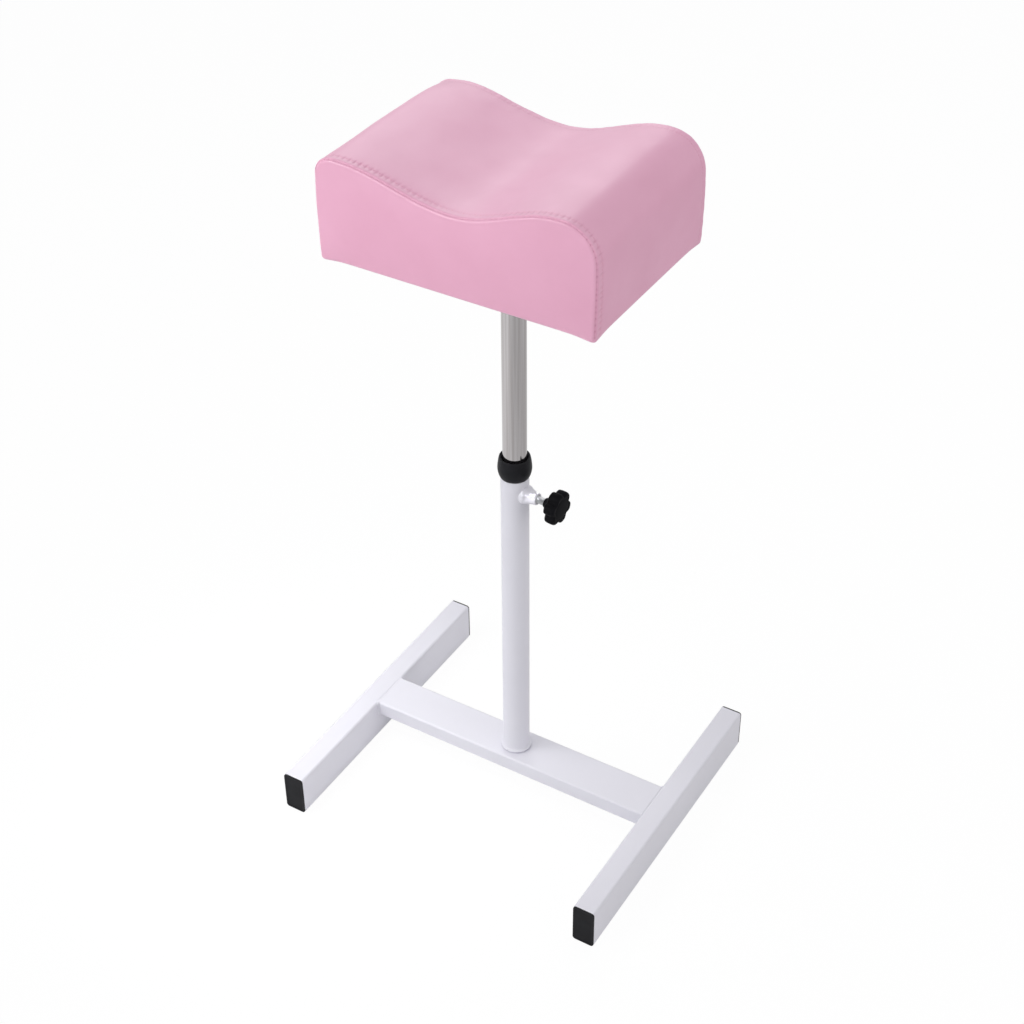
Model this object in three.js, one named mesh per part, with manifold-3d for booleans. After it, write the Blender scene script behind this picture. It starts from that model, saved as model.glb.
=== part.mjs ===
// Pedicure footrest: a wave-topped padded cushion on a clamped telescopic mast over a two-rail base.
// Millimetres, +Z up, +X along the crossbar, -Y the front. The origin is on the floor below the post's axis.
import * as THREE from 'three';
import { mergeVertices } from 'three/addons/utils/BufferGeometryUtils.js';
import Module from 'manifold-3d';

// Facets of round and curved forms
const TUBE_STEPS = 36;
const SMALL_STEPS = 16;
const CORNER_STEPS = 2;

// Clearances
const SEAT_GAP = 0.3;
const PRESS_GAP = 0.1;
const SLIDE_GAP = 0.2;
const CUT_OVERRUN = 2;

// Base rails and crossbar, rectangular steel tube
const BASE_WIDTH = 402;
const BASE_DEPTH = 355;
const RAIL_WIDTH = 25;
const RAIL_HEIGHT = 50;
const TUBE_WALL = 1.5;
const TUBE_CORNER = 2.6;
const CROSSBAR_DEPTH = 50;
const CROSSBAR_HEIGHT = 20;

// Plastic end caps of the rails
const CAP_FLANGE = 1.5;
const CAP_CORNER = 3.4;
const CAP_REACH = 15;
const CAP_WALL = 2;
const CAP_BARB = 0.25;
const CAP_BARB_WIDTH = 2;
const CAP_BARBS = 2;

// Mast, its end plug and the guide ring
const MAST_OD = 25.4;
const MAST_WALL = 1.5;
const MAST_LENGTH = 400;
const PLUG_INSERT = 20;
const PLUG_SHOULDER = 2;
const PLUG_GROOVE = 1.1;
const PLUG_FLANGE = 2.5;
const PLUG_FLANGE_CLEARANCE = 0.8;
const GUIDE_HEIGHT = 12;
const GUIDE_SLIT = 2;
const GUIDE_CLEARANCE = 0.4;

// Post round the mast and the collar's sleeve, with its flared foot and the screw that holds it down
const COLLAR_SLEEVE_WALL = 0.8;
const POST_WALL = 1.2;
const POST_OD = MAST_OD + 2 * (SLIDE_GAP + COLLAR_SLEEVE_WALL + PRESS_GAP + POST_WALL);
const POST_TOP = 434;
const FOOT_FLARE = 2.3;
const FOOT_FLARE_HEIGHT = 9;
const FOOT_FLARE_SHARES = [[0.55, 0.35], [0.15, 0.65], [0, 1]];
const FOOT_CHAMFER = 0.9;
const FOOT_PLUG_THICKNESS = 12;
const FOOT_SCREW_OD = 8;
const FOOT_SCREW_LENGTH = 16;
const FOOT_SCREW_HEAD_OD = 13;
const FOOT_SCREW_HEAD = 8;
const FOOT_SCREW_SOCKET = 6.9;
const FOOT_SCREW_SOCKET_DEPTH = 4;
const FOOT_WASHER_OD = 16;
const FOOT_WASHER = 1.6;
const SPRING_WASHER_OD = 14;
const SPRING_WASHER = 2;
const SPRING_WASHER_SLIT = 1.5;
const ACCESS_HOLE_OD = 20;

// Collar: a barrel on the post's rim with a sleeve inside the post
const COLLAR_HEIGHT = 30;
const COLLAR_TOP_STEP = 0.5;
const COLLAR_BOTTOM_STEP = -0.2;
const COLLAR_BULGE = 3.1;
const COLLAR_BULGE_POWER_SHARE = 0.8;
const COLLAR_LIP = 1;
const COLLAR_SLEEVE = 28;
const COLLAR_STEPS = 6;

// Clamp on the post: boss, screw, pressure pad and star knob along the clamp's own axis
const CLAMP_DROP = 19;
const CLAMP_TURN = THREE.MathUtils.degToRad(-4);
const CLAMP_SCREW_OD = 8;
const CLAMP_SCREW_TIP = 1;
const CLAMP_HEAD_OD = 13;
const CLAMP_HEAD = 5;
const BOSS_LENGTH = 15.5;
const BOSS_END_WALL = 2.2;
const BOSS_ROOT_WALL = 6;
const BOSS_EDGE = 1.2;
const BOSS_TAPER_SHARES = [[1, 0], [0.7, 0.12], [0.5, 0.3], [0.25, 0.6]];
const PAD_CLEARANCE = 0.4;
const PAD_THICKNESS = 2.5;
const PAD_STEM_OD = 3.4;
const PAD_STEM = 4;
const KNOB_OD = 36;
const KNOB_STANDOFF = 5.5;
const KNOB_HUB_WALL = 2;
const KNOB_HUB = 12;
const KNOB_HEAD_SINK = 1;
const KNOB_BODY = 11;
const KNOB_LOBES = 6;
const KNOB_LOBE_STEPS = 8;
const KNOB_LOBE_PHASE = THREE.MathUtils.degToRad(5);
const KNOB_FLUTE_SHARE = 0.15;
const KNOB_FLUTE_POWER_SHARE = 1.6;
const KNOB_HUB_SHARES = [[0.88, 0], [1, 0.06], [1.15, 0.7], [1.5, 1]];
const KNOB_BODY_SHARES = [
  [0.86, 0.9, 0.03],
  [0.97, 1, 0.14],
  [1, 1, 0.35],
  [1, 1, 0.65],
  [0.96, 1, 0.88],
  [0.85, 0.9, 1],
  [0.45, 0, 1],
];

// Mounting plate on the mast and its fasteners
const PLATE_LENGTH = 130;
const PLATE_DEPTH = 90;
const PLATE_THICKNESS = 3;
const PLATE_CORNER = 10;
const PLATE_SCREW_MARGIN = 13;
const PLATE_SCREW_OD = 6;
const PLATE_SCREW_LENGTH = 16;
const PLATE_SCREW_HEAD_OD = 11;
const PLATE_SCREW_HEAD = 3.6;
const PLATE_SCREW_SOCKET = 4.6;
const PLATE_SCREW_SOCKET_DEPTH = 2;
const TNUT_FLANGE_OD = 19;
const TNUT_FLANGE = 1.2;
const TNUT_BARREL_WALL = 1.2;
const TNUT_BARREL = 9;

// Cushion: board, foam core, cover of two wavy panels and one long strip, and a dust cover
const CUSHION_WIDTH = 291;
const CUSHION_DEPTH = 211;
const CUSHION_HEIGHT = 108.2;
const CUSHION_UNDERSIDE = 699.8;
const VALLEY_DEPTH = 25;
const HUMP_FLAT = 5.5;
const SHOULDER_RADIUS = 30;
const BOTTOM_RADIUS = 8;
const SEAM_ROLL = 4;
const SEAM_ROLL_REACH = 11;
const STRIP_CROWN = 1.5;
const PANEL_CROWN = 3;
const COVER_THICKNESS = 1.2;
const COVER_TURN_UNDER = 24;
const DUST_COVER_THICKNESS = 0.8;
const DUST_COVER_MARGIN = 10;
const DUST_COVER_CORNER = 12;
const BOARD_THICKNESS = 12;
const BOARD_MARGIN = 7.5;
const BOARD_CORNER = 14;

// Steps and shares of the cushion's outline and rings
const WAVE_STEPS = 12;
const SHOULDER_STEPS = 4;
const SIDE_STEPS = 3;
const BOTTOM_STEPS = 3;
const STRIP_HALF_STEPS = 3;
const ROLL_SHARES = [0, 0.12, 0.45];
const PANEL_RING_SHARES = [0.94, 0.78, 0.5, 0.2];

const wasm = await Module();
wasm.setup();

function solidOf(geometry) {
  const bare = geometry.clone();
  bare.deleteAttribute('normal');
  bare.deleteAttribute('uv');
  const merged = mergeVertices(bare);
  const corners = merged.index.array;
  const triangles = [];
  for (let i = 0; i < corners.length; i += 3) {
    const [a, b, c] = [corners[i], corners[i + 1], corners[i + 2]];
    if (a !== b && b !== c && c !== a) {
      triangles.push(a, b, c);
    }
  }
  return new wasm.Manifold(new wasm.Mesh({
    numProp: 3,
    vertProperties: new Float32Array(merged.attributes.position.array),
    triVerts: new Uint32Array(triangles),
  }));
}

function geometryOf(solid) {
  const mesh = solid.getMesh();
  const geometry = new THREE.BufferGeometry();
  geometry.setAttribute('position', new THREE.BufferAttribute(new Float32Array(mesh.vertProperties), 3));
  geometry.setIndex(new THREE.BufferAttribute(new Uint32Array(mesh.triVerts), 1));
  geometry.computeVertexNormals();
  return geometry;
}

// Every mesh has a material of its own
function piece(name, geometry, colour, roughness, metalness) {
  const material = new THREE.MeshStandardMaterial({ color: colour, roughness, metalness });
  const mesh = new THREE.Mesh(geometry, material);
  mesh.name = name;
  return mesh;
}

const finishes = {
  whiteCoat: ['#e9e8ec', 0.42, 0],
  blackPlastic: ['#242428', 0.5, 0],
  chrome: ['#c9cacc', 0.12, 1],
  zinc: ['#b3b6ba', 0.35, 1],
  nylon: ['#d8d6cc', 0.55, 0],
  leatherette: ['#e4aac6', 0.45, 0],
  dustCloth: ['#2a2a2d', 0.95, 0],
  plywood: ['#c79f6b', 0.75, 0],
  foam: ['#e8dca8', 0.95, 0],
};

function slab(width, depth, low, high) {
  return new THREE.BoxGeometry(width, depth, high - low).translate(0, 0, (low + high) / 2);
}

function roundedRect(target, width, height, radius) {
  const x = width / 2 - radius;
  const y = height / 2 - radius;
  const quarter = Math.PI / 2;
  target.moveTo(-x, -y - radius);
  target.absarc(x, -y, radius, -quarter, 0);
  target.absarc(x, y, radius, 0, quarter);
  target.absarc(-x, y, radius, quarter, Math.PI);
  target.absarc(-x, -y, radius, Math.PI, Math.PI + quarter);
  return target;
}

function extrudeUp(shape, length) {
  const options = { depth: length, bevelEnabled: false, curveSegments: CORNER_STEPS };
  return new THREE.ExtrudeGeometry(shape, options);
}

function roundedPlate(width, depth, radius, low, high) {
  return extrudeUp(roundedRect(new THREE.Shape(), width, depth, radius), high - low).translate(0, 0, low);
}

// Rectangular tube centred on the Y axis; its hole is open at both ends
function rectangularTube(width, height, wall, corner, length) {
  const shape = roundedRect(new THREE.Shape(), width, height, corner);
  const innerCorner = Math.max(corner - wall, wall / 2);
  shape.holes.push(roundedRect(new THREE.Path(), width - 2 * wall, height - 2 * wall, innerCorner));
  return extrudeUp(shape, length).rotateX(Math.PI / 2).translate(0, length / 2, 0);
}

// A turned form about Z from a closed profile of [radius, height] points
function turned(profile, steps) {
  const points = profile.map(([radius, height]) => new THREE.Vector2(radius, height));
  return new THREE.LatheGeometry(points, steps).rotateX(Math.PI / 2);
}

function rod(diameter, low, high, steps) {
  const radius = diameter / 2;
  return turned([[0, low], [radius, low], [radius, high], [0, high]], steps);
}

function pipe(outer, inner, low, high, steps) {
  const [bore, skin] = [inner / 2, outer / 2];
  return turned([[bore, low], [skin, low], [skin, high], [bore, high], [bore, low]], steps);
}

function hexagon(acrossCorners, low, high) {
  return rod(acrossCorners, low, high, 6);
}

// Lays a form that is turned about Z along +X
function alongX(geometry) {
  return geometry.rotateY(Math.PI / 2);
}

// Closed skin over rings of equal length; each end closes on its ring's middle
function loft(rings) {
  const positions = [];
  const indices = [];
  const count = rings[0].length;
  for (const ring of rings) {
    for (const point of ring) {
      positions.push(point.x, point.y, point.z);
    }
  }
  for (let r = 0; r + 1 < rings.length; r += 1) {
    for (let i = 0; i < count; i += 1) {
      const a = r * count + i;
      const b = r * count + ((i + 1) % count);
      indices.push(a, b, b + count);
      indices.push(a, b + count, a + count);
    }
  }
  const ends = [[0, true], [rings.length - 1, false]];
  for (const [r, flip] of ends) {
    const middle = new THREE.Vector3();
    for (const point of rings[r]) {
      middle.addScaledVector(point, 1 / count);
    }
    const hub = positions.length / 3;
    positions.push(middle.x, middle.y, middle.z);
    for (let i = 0; i < count; i += 1) {
      const a = r * count + i;
      const b = r * count + ((i + 1) % count);
      indices.push(...(flip ? [hub, b, a] : [hub, a, b]));
    }
  }
  const geometry = new THREE.BufferGeometry();
  geometry.setAttribute('position', new THREE.Float32BufferAttribute(positions, 3));
  geometry.setIndex(indices);
  geometry.computeVertexNormals();
  return geometry;
}

const crossbarTop = RAIL_HEIGHT;
const crossbarBottom = crossbarTop - CROSSBAR_HEIGHT;
const railPlace = (BASE_WIDTH - RAIL_WIDTH) / 2;
const railLength = BASE_DEPTH - 2 * CAP_FLANGE;
const postBore = POST_OD - 2 * POST_WALL;
const mastBore = MAST_OD - 2 * MAST_WALL;
const collarBore = MAST_OD + 2 * SLIDE_GAP;
const footBore = FOOT_SCREW_OD + 2 * SEAT_GAP;
const clampBore = CLAMP_SCREW_OD + 2 * SEAT_GAP;
const padHoleBore = clampBore + 2 * SLIDE_GAP;
const clampHeight = POST_TOP - CLAMP_DROP;
const bossReach = POST_OD / 2 + BOSS_LENGTH;
const knobStart = bossReach + KNOB_STANDOFF;
const clampHeadPlace = knobStart + KNOB_HUB - KNOB_HEAD_SINK;
const humpTop = CUSHION_UNDERSIDE + CUSHION_HEIGHT;
const humpPlace = CUSHION_WIDTH / 2 - SHOULDER_RADIUS - HUMP_FLAT;

function buildRail() {
  const tube = rectangularTube(RAIL_WIDTH, RAIL_HEIGHT, TUBE_WALL, TUBE_CORNER, railLength);
  return tube.translate(0, 0, RAIL_HEIGHT / 2);
}

function buildCrossbar() {
  const length = BASE_WIDTH - 2 * RAIL_WIDTH;
  const tube = rectangularTube(CROSSBAR_DEPTH, CROSSBAR_HEIGHT, TUBE_WALL, TUBE_CORNER, length)
    .rotateZ(Math.PI / 2)
    .translate(0, 0, (crossbarTop + crossbarBottom) / 2);
  const wallCut = TUBE_WALL + CUT_OVERRUN;
  const screwHole = rod(footBore, crossbarTop - wallCut, crossbarTop + CUT_OVERRUN, SMALL_STEPS);
  const accessHole = rod(ACCESS_HOLE_OD, crossbarBottom - CUT_OVERRUN, crossbarBottom + wallCut, TUBE_STEPS);
  return geometryOf(solidOf(tube).subtract(solidOf(screwHole)).subtract(solidOf(accessHole)));
}

// Cap with its flange at y 0 and its hollow insert towards +Y
function buildCap() {
  const fitWidth = RAIL_WIDTH - 2 * TUBE_WALL - 2 * SEAT_GAP - 2 * CAP_BARB;
  const fitHeight = RAIL_HEIGHT - 2 * TUBE_WALL - 2 * SEAT_GAP - 2 * CAP_BARB;
  const fitCorner = TUBE_WALL;
  const flange = extrudeUp(roundedRect(new THREE.Shape(), RAIL_WIDTH, RAIL_HEIGHT, CAP_CORNER), CAP_FLANGE);
  let solid = solidOf(flange);
  const insertReach = CAP_FLANGE / 2 + CAP_REACH;
  const insert = extrudeUp(roundedRect(new THREE.Shape(), fitWidth, fitHeight, fitCorner), insertReach);
  solid = solid.add(solidOf(insert.translate(0, 0, CAP_FLANGE / 2)));
  const pitch = CAP_REACH / (CAP_BARBS + 1);
  for (let i = 1; i <= CAP_BARBS; i += 1) {
    const barbShape = roundedRect(
      new THREE.Shape(), fitWidth + 2 * CAP_BARB, fitHeight + 2 * CAP_BARB, fitCorner,
    );
    const barb = extrudeUp(barbShape, CAP_BARB_WIDTH);
    solid = solid.add(solidOf(barb.translate(0, 0, CAP_FLANGE + i * pitch - CAP_BARB_WIDTH / 2)));
  }
  const hollowShape = roundedRect(
    new THREE.Shape(), fitWidth - 2 * CAP_WALL, fitHeight - 2 * CAP_WALL, fitCorner / 2,
  );
  const hollow = extrudeUp(hollowShape, CAP_REACH + CUT_OVERRUN).translate(0, 0, CAP_FLANGE);
  return geometryOf(solid.subtract(solidOf(hollow))).rotateX(-Math.PI / 2);
}

function buildPost() {
  const bore = postBore / 2;
  const radius = POST_OD / 2;
  const low = crossbarTop;
  const flare = FOOT_FLARE_SHARES.map(([spread, height]) => [
    radius + FOOT_FLARE * spread,
    low + FOOT_FLARE_HEIGHT * height,
  ]);
  const profile = [
    [bore, low],
    [radius + FOOT_FLARE - FOOT_CHAMFER, low],
    [radius + FOOT_FLARE, low + FOOT_CHAMFER],
    ...flare,
    [radius, POST_TOP],
    [bore, POST_TOP],
    [bore, low],
  ];
  return geometryOf(solidOf(turned(profile, TUBE_STEPS)).subtract(padHole()));
}

// The hole that the clamp's pad and screw pass through, in the post and in the collar's sleeve
function padHole() {
  const hole = alongX(rod(padHoleBore, 0, POST_OD, SMALL_STEPS))
    .rotateZ(CLAMP_TURN)
    .translate(0, 0, clampHeight);
  return solidOf(hole);
}

function buildFootPlug() {
  return pipe(postBore - 2 * PRESS_GAP, footBore, crossbarTop, crossbarTop + FOOT_PLUG_THICKNESS, TUBE_STEPS);
}

// Socket-head screw pointing up, its head's seat at z 0
function buildSocketScrew(diameter, length, headDiameter, head, socket, socketDepth) {
  const chamfer = diameter / 10;
  const radius = diameter / 2;
  const headRadius = headDiameter / 2;
  const profile = [
    [0, -head],
    [headRadius - chamfer, -head],
    [headRadius, chamfer - head],
    [headRadius, 0],
    [radius, 0],
    [radius, length - chamfer],
    [radius - chamfer, length],
    [0, length],
  ];
  const recess = hexagon(socket, -head - CUT_OVERRUN, socketDepth - head);
  return geometryOf(solidOf(turned(profile, SMALL_STEPS)).subtract(solidOf(recess)));
}

function buildSpringWasher(low) {
  const high = low + SPRING_WASHER;
  const ring = pipe(SPRING_WASHER_OD, footBore, low, high, SMALL_STEPS);
  const slit = slab(SPRING_WASHER_SLIT, SPRING_WASHER_OD, low - CUT_OVERRUN, high + CUT_OVERRUN)
    .translate(0, SPRING_WASHER_OD / 2, 0);
  return geometryOf(solidOf(ring).subtract(solidOf(slit)));
}

function buildCollar() {
  const bore = collarBore / 2;
  const sleeve = postBore / 2 - PRESS_GAP;
  const bottom = POST_OD / 2 + COLLAR_BOTTOM_STEP;
  const top = POST_OD / 2 + COLLAR_TOP_STEP;
  const profile = [
    [bore, POST_TOP - COLLAR_SLEEVE],
    [sleeve, POST_TOP - COLLAR_SLEEVE],
    [sleeve, POST_TOP],
  ];
  for (let i = 0; i <= COLLAR_STEPS; i += 1) {
    const t = i / COLLAR_STEPS;
    const bulge = COLLAR_BULGE * Math.sin(Math.PI * t) ** COLLAR_BULGE_POWER_SHARE;
    profile.push([bottom + (top - bottom) * t + bulge, POST_TOP + (COLLAR_HEIGHT - COLLAR_LIP) * t]);
  }
  profile.push([top - COLLAR_LIP, POST_TOP + COLLAR_HEIGHT]);
  profile.push([bore + COLLAR_LIP / 2, POST_TOP + COLLAR_HEIGHT]);
  profile.push([bore, POST_TOP + COLLAR_HEIGHT - COLLAR_LIP]);
  profile.push([bore, POST_TOP - COLLAR_SLEEVE]);
  return geometryOf(solidOf(turned(profile, TUBE_STEPS)).subtract(padHole()));
}

// Clamp pieces lie along +X from the post's axis at z 0
function buildBoss() {
  const end = CLAMP_SCREW_OD / 2 + BOSS_END_WALL;
  const root = CLAMP_SCREW_OD / 2 + BOSS_ROOT_WALL;
  const bore = clampBore / 2;
  const start = POST_OD / 4;
  const face = POST_OD / 2;
  const profile = [
    [bore, start],
    [root, start],
    ...BOSS_TAPER_SHARES.map(([taper, run]) => [end + (root - end) * taper, face + BOSS_LENGTH * run]),
    [end, bossReach - BOSS_EDGE],
    [end - BOSS_EDGE, bossReach],
    [bore, bossReach],
    [bore, start],
  ];
  const postWall = rod(POST_OD + 2 * SEAT_GAP, -POST_OD, POST_OD, TUBE_STEPS);
  return geometryOf(solidOf(alongX(turned(profile, TUBE_STEPS))).subtract(solidOf(postWall)));
}

const padStart = MAST_OD / 2 + SEAT_GAP;
const screwStart = padStart + PAD_THICKNESS + SEAT_GAP;
const stemBore = PAD_STEM_OD + 2 * SEAT_GAP;

function buildPad() {
  const face = padStart + PAD_THICKNESS;
  const radius = CLAMP_SCREW_OD / 2 - PAD_CLEARANCE;
  const profile = [
    [0, padStart],
    [radius, padStart],
    [radius, face],
    [PAD_STEM_OD / 2, face],
    [PAD_STEM_OD / 2, face + PAD_STEM],
    [0, face + PAD_STEM],
  ];
  return alongX(turned(profile, SMALL_STEPS));
}

function buildClampScrew() {
  const radius = CLAMP_SCREW_OD / 2;
  const headMiddle = clampHeadPlace + CLAMP_HEAD / 2;
  const profile = [
    [0, screwStart + PAD_STEM],
    [stemBore / 2, screwStart + PAD_STEM],
    [stemBore / 2, screwStart],
    [radius - CLAMP_SCREW_TIP, screwStart],
    [radius, screwStart + CLAMP_SCREW_TIP],
    [radius, headMiddle],
    [0, headMiddle],
  ];
  const head = hexagon(CLAMP_HEAD_OD, clampHeadPlace, clampHeadPlace + CLAMP_HEAD);
  return alongX(geometryOf(solidOf(turned(profile, SMALL_STEPS)).add(solidOf(head))));
}

// Ring of the knob: round at flute 0, with lobes as the flute deepens
function knobRing(radius, flute, place) {
  const count = KNOB_LOBES * KNOB_LOBE_STEPS;
  const ring = [];
  for (let i = 0; i < count; i += 1) {
    const angle = (2 * Math.PI * i) / count;
    const wave = (1 - Math.cos(KNOB_LOBES * (angle - KNOB_LOBE_PHASE))) / 2;
    const reach = radius * (1 - flute * wave ** KNOB_FLUTE_POWER_SHARE);
    ring.push(new THREE.Vector3(reach * Math.cos(angle), reach * Math.sin(angle), place));
  }
  return ring;
}

function buildKnob() {
  const hub = CLAMP_SCREW_OD / 2 + KNOB_HUB_WALL;
  const back = knobStart + KNOB_HUB;
  const hubRings = KNOB_HUB_SHARES.map(([radius, place]) => (
    knobRing(hub * radius, 0, knobStart + KNOB_HUB * place)
  ));
  const bodyRings = KNOB_BODY_SHARES.map(([radius, flute, place]) => (
    knobRing((KNOB_OD / 2) * radius, KNOB_FLUTE_SHARE * flute, back + KNOB_BODY * place)
  ));
  const rings = [...hubRings, ...bodyRings];
  const bore = rod(clampBore, knobStart - CUT_OVERRUN, clampHeadPlace + CLAMP_HEAD / 2, SMALL_STEPS);
  const pocket = hexagon(
    CLAMP_HEAD_OD + 2 * SEAT_GAP, clampHeadPlace - SEAT_GAP, clampHeadPlace + CLAMP_HEAD + SEAT_GAP,
  );
  return alongX(geometryOf(solidOf(loft(rings)).subtract(solidOf(bore)).subtract(solidOf(pocket))));
}

// Mast pieces are built from the mast's foot at z 0
function buildMast() {
  return pipe(MAST_OD, mastBore, 0, MAST_LENGTH, TUBE_STEPS);
}

const guideTop = -PLUG_SHOULDER - SEAT_GAP;
const guideBottom = guideTop - GUIDE_HEIGHT;
const plugShoulderOd = MAST_OD - 2 * SLIDE_GAP;
const plugCoreOd = plugShoulderOd - 2 * PLUG_GROOVE;
const plugFlangeOd = postBore - 2 * PLUG_FLANGE_CLEARANCE;

function buildMastPlug() {
  const insert = mastBore / 2 - PRESS_GAP;
  const groove = guideBottom - SEAT_GAP;
  const profile = [
    [0, groove - PLUG_FLANGE],
    [plugFlangeOd / 2, groove - PLUG_FLANGE],
    [plugFlangeOd / 2, groove],
    [plugCoreOd / 2, groove],
    [plugCoreOd / 2, -PLUG_SHOULDER],
    [plugShoulderOd / 2, -PLUG_SHOULDER],
    [plugShoulderOd / 2, 0],
    [insert, 0],
    [insert, PLUG_INSERT - PLUG_SHOULDER],
    [insert - PLUG_SHOULDER, PLUG_INSERT],
    [0, PLUG_INSERT],
  ];
  return turned(profile, TUBE_STEPS);
}

function buildGuideRing() {
  const inner = plugCoreOd + 2 * GUIDE_CLEARANCE;
  const ring = pipe(postBore - 2 * SLIDE_GAP, inner, guideBottom, guideTop, TUBE_STEPS);
  const slit = slab(GUIDE_SLIT, POST_OD, guideBottom - CUT_OVERRUN, guideTop + CUT_OVERRUN);
  slit.translate(0, POST_OD / 2, 0);
  return geometryOf(solidOf(ring).subtract(solidOf(slit)));
}

const dustTop = CUSHION_UNDERSIDE - SEAT_GAP;
const dustBottom = dustTop - DUST_COVER_THICKNESS;
const plateTop = dustBottom - SEAT_GAP;
const plateBottom = plateTop - PLATE_THICKNESS;
const mastFoot = plateBottom - MAST_LENGTH;
const boardBottom = CUSHION_UNDERSIDE + COVER_THICKNESS + SEAT_GAP;
const boardTop = boardBottom + BOARD_THICKNESS;
const foamBottom = boardTop + TNUT_FLANGE + SEAT_GAP;

const screwPlaces = [-1, 1].flatMap((y) => [-1, 1].map((x) => [
  x * (PLATE_LENGTH / 2 - PLATE_SCREW_MARGIN),
  y * (PLATE_DEPTH / 2 - PLATE_SCREW_MARGIN),
]));
const plateHole = PLATE_SCREW_OD + 2 * SEAT_GAP;
const tnutBarrelOd = PLATE_SCREW_OD + 2 * TNUT_BARREL_WALL;

function drilled(geometry, diameter, low, high) {
  let solid = solidOf(geometry);
  for (const [x, y] of screwPlaces) {
    const drill = rod(diameter, low - CUT_OVERRUN, high + CUT_OVERRUN, SMALL_STEPS).translate(x, y, 0);
    solid = solid.subtract(solidOf(drill));
  }
  return geometryOf(solid);
}

function buildPlate() {
  const plate = roundedPlate(PLATE_LENGTH, PLATE_DEPTH, PLATE_CORNER, plateBottom, plateTop);
  return drilled(plate, plateHole, plateBottom, plateTop);
}

function buildBoard() {
  const width = CUSHION_WIDTH - 2 * BOARD_MARGIN;
  const depth = CUSHION_DEPTH - 2 * BOARD_MARGIN;
  const board = roundedPlate(width, depth, BOARD_CORNER, boardBottom, boardTop);
  return drilled(board, tnutBarrelOd + 2 * SEAT_GAP, boardBottom, boardTop);
}

function buildDustCover() {
  const width = CUSHION_WIDTH - 2 * DUST_COVER_MARGIN;
  const depth = CUSHION_DEPTH - 2 * DUST_COVER_MARGIN;
  const sheet = roundedPlate(width, depth, DUST_COVER_CORNER, dustBottom, dustTop);
  return drilled(sheet, plateHole + 2 * SEAT_GAP, dustBottom, dustTop);
}

// T-nut with its flange on the board at z 0 and its barrel below
function buildTnut() {
  const bore = PLATE_SCREW_OD / 2 + SLIDE_GAP;
  const flange = TNUT_FLANGE_OD / 2;
  const barrel = tnutBarrelOd / 2;
  const profile = [
    [bore, -TNUT_BARREL],
    [barrel, -TNUT_BARREL],
    [barrel, 0],
    [flange, 0],
    [flange, TNUT_FLANGE],
    [bore, TNUT_FLANGE],
    [bore, -TNUT_BARREL],
  ];
  return turned(profile, SMALL_STEPS);
}

function arc(ring, x, z, radius, from, to, steps) {
  for (let i = 0; i <= steps; i += 1) {
    const angle = from + ((to - from) * i) / steps;
    ring.push([x + radius * Math.cos(angle), z + radius * Math.sin(angle)]);
  }
}

// The cushion's outline in X and Z, drawn in by an inset, from the lower left corner round by the top
function cushionOutline(inset) {
  const half = CUSHION_WIDTH / 2 - inset;
  const low = CUSHION_UNDERSIDE + inset;
  const top = humpTop - inset;
  const bottomRadius = Math.max(BOTTOM_RADIUS - inset, BOTTOM_RADIUS / 4);
  const shoulder = SHOULDER_RADIUS - inset;
  const quarter = Math.PI / 2;
  const shoulderX = half - shoulder;
  const shoulderZ = top - shoulder;
  const ring = [];
  arc(ring, bottomRadius - half, low + bottomRadius, bottomRadius, -quarter, -2 * quarter, BOTTOM_STEPS);
  for (let i = 1; i < SIDE_STEPS; i += 1) {
    ring.push([-half, low + bottomRadius + ((shoulderZ - low - bottomRadius) * i) / SIDE_STEPS]);
  }
  arc(ring, -shoulderX, shoulderZ, shoulder, 2 * quarter, quarter, SHOULDER_STEPS);
  for (let i = 0; i <= WAVE_STEPS; i += 1) {
    const turn = Math.PI * ((2 * i) / WAVE_STEPS - 1);
    ring.push([(humpPlace * turn) / Math.PI, top - (VALLEY_DEPTH * (1 + Math.cos(turn))) / 2]);
  }
  arc(ring, shoulderX, shoulderZ, shoulder, quarter, 0, SHOULDER_STEPS);
  for (let i = SIDE_STEPS - 1; i > 0; i -= 1) {
    ring.push([half, low + bottomRadius + ((shoulderZ - low - bottomRadius) * i) / SIDE_STEPS]);
  }
  arc(ring, half - bottomRadius, low + bottomRadius, bottomRadius, 0, -quarter, BOTTOM_STEPS);
  return ring;
}

// The cushion's closed form, drawn in by an inset: crowned strip, rolled seams and crowned end panels
function cushionForm(inset) {
  const halfDepth = CUSHION_DEPTH / 2 - inset;
  const stations = ROLL_SHARES.map((share) => [
    halfDepth - SEAM_ROLL_REACH * share,
    SEAM_ROLL * (1 - Math.sqrt(1 - (1 - share) ** 2)),
  ]);
  for (let i = 0; i <= STRIP_HALF_STEPS; i += 1) {
    const place = (halfDepth - SEAM_ROLL_REACH) * (1 - i / STRIP_HALF_STEPS);
    const crown = STRIP_CROWN * Math.sin(((Math.PI / 2) * i) / STRIP_HALF_STEPS);
    stations.push([place, -crown]);
  }
  const mirrored = stations.slice(0, -1).map(([place, roll]) => [-place, roll]);
  const rings = [...mirrored, ...stations.toReversed()].map(([place, roll]) => ringAt(inset, roll, place));
  const middle = new THREE.Vector3(0, 0, CUSHION_UNDERSIDE + CUSHION_HEIGHT / 2);
  const panel = (side) => PANEL_RING_SHARES.map((share) => {
    const place = side * (halfDepth + PANEL_CROWN * (1 - share ** 2));
    return ringAt(inset, SEAM_ROLL, 0).map((point) => new THREE.Vector3()
      .lerpVectors(middle, point, share)
      .setY(place));
  });
  return loft([...panel(-1).toReversed(), ...rings, ...panel(1)]);
}

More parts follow.
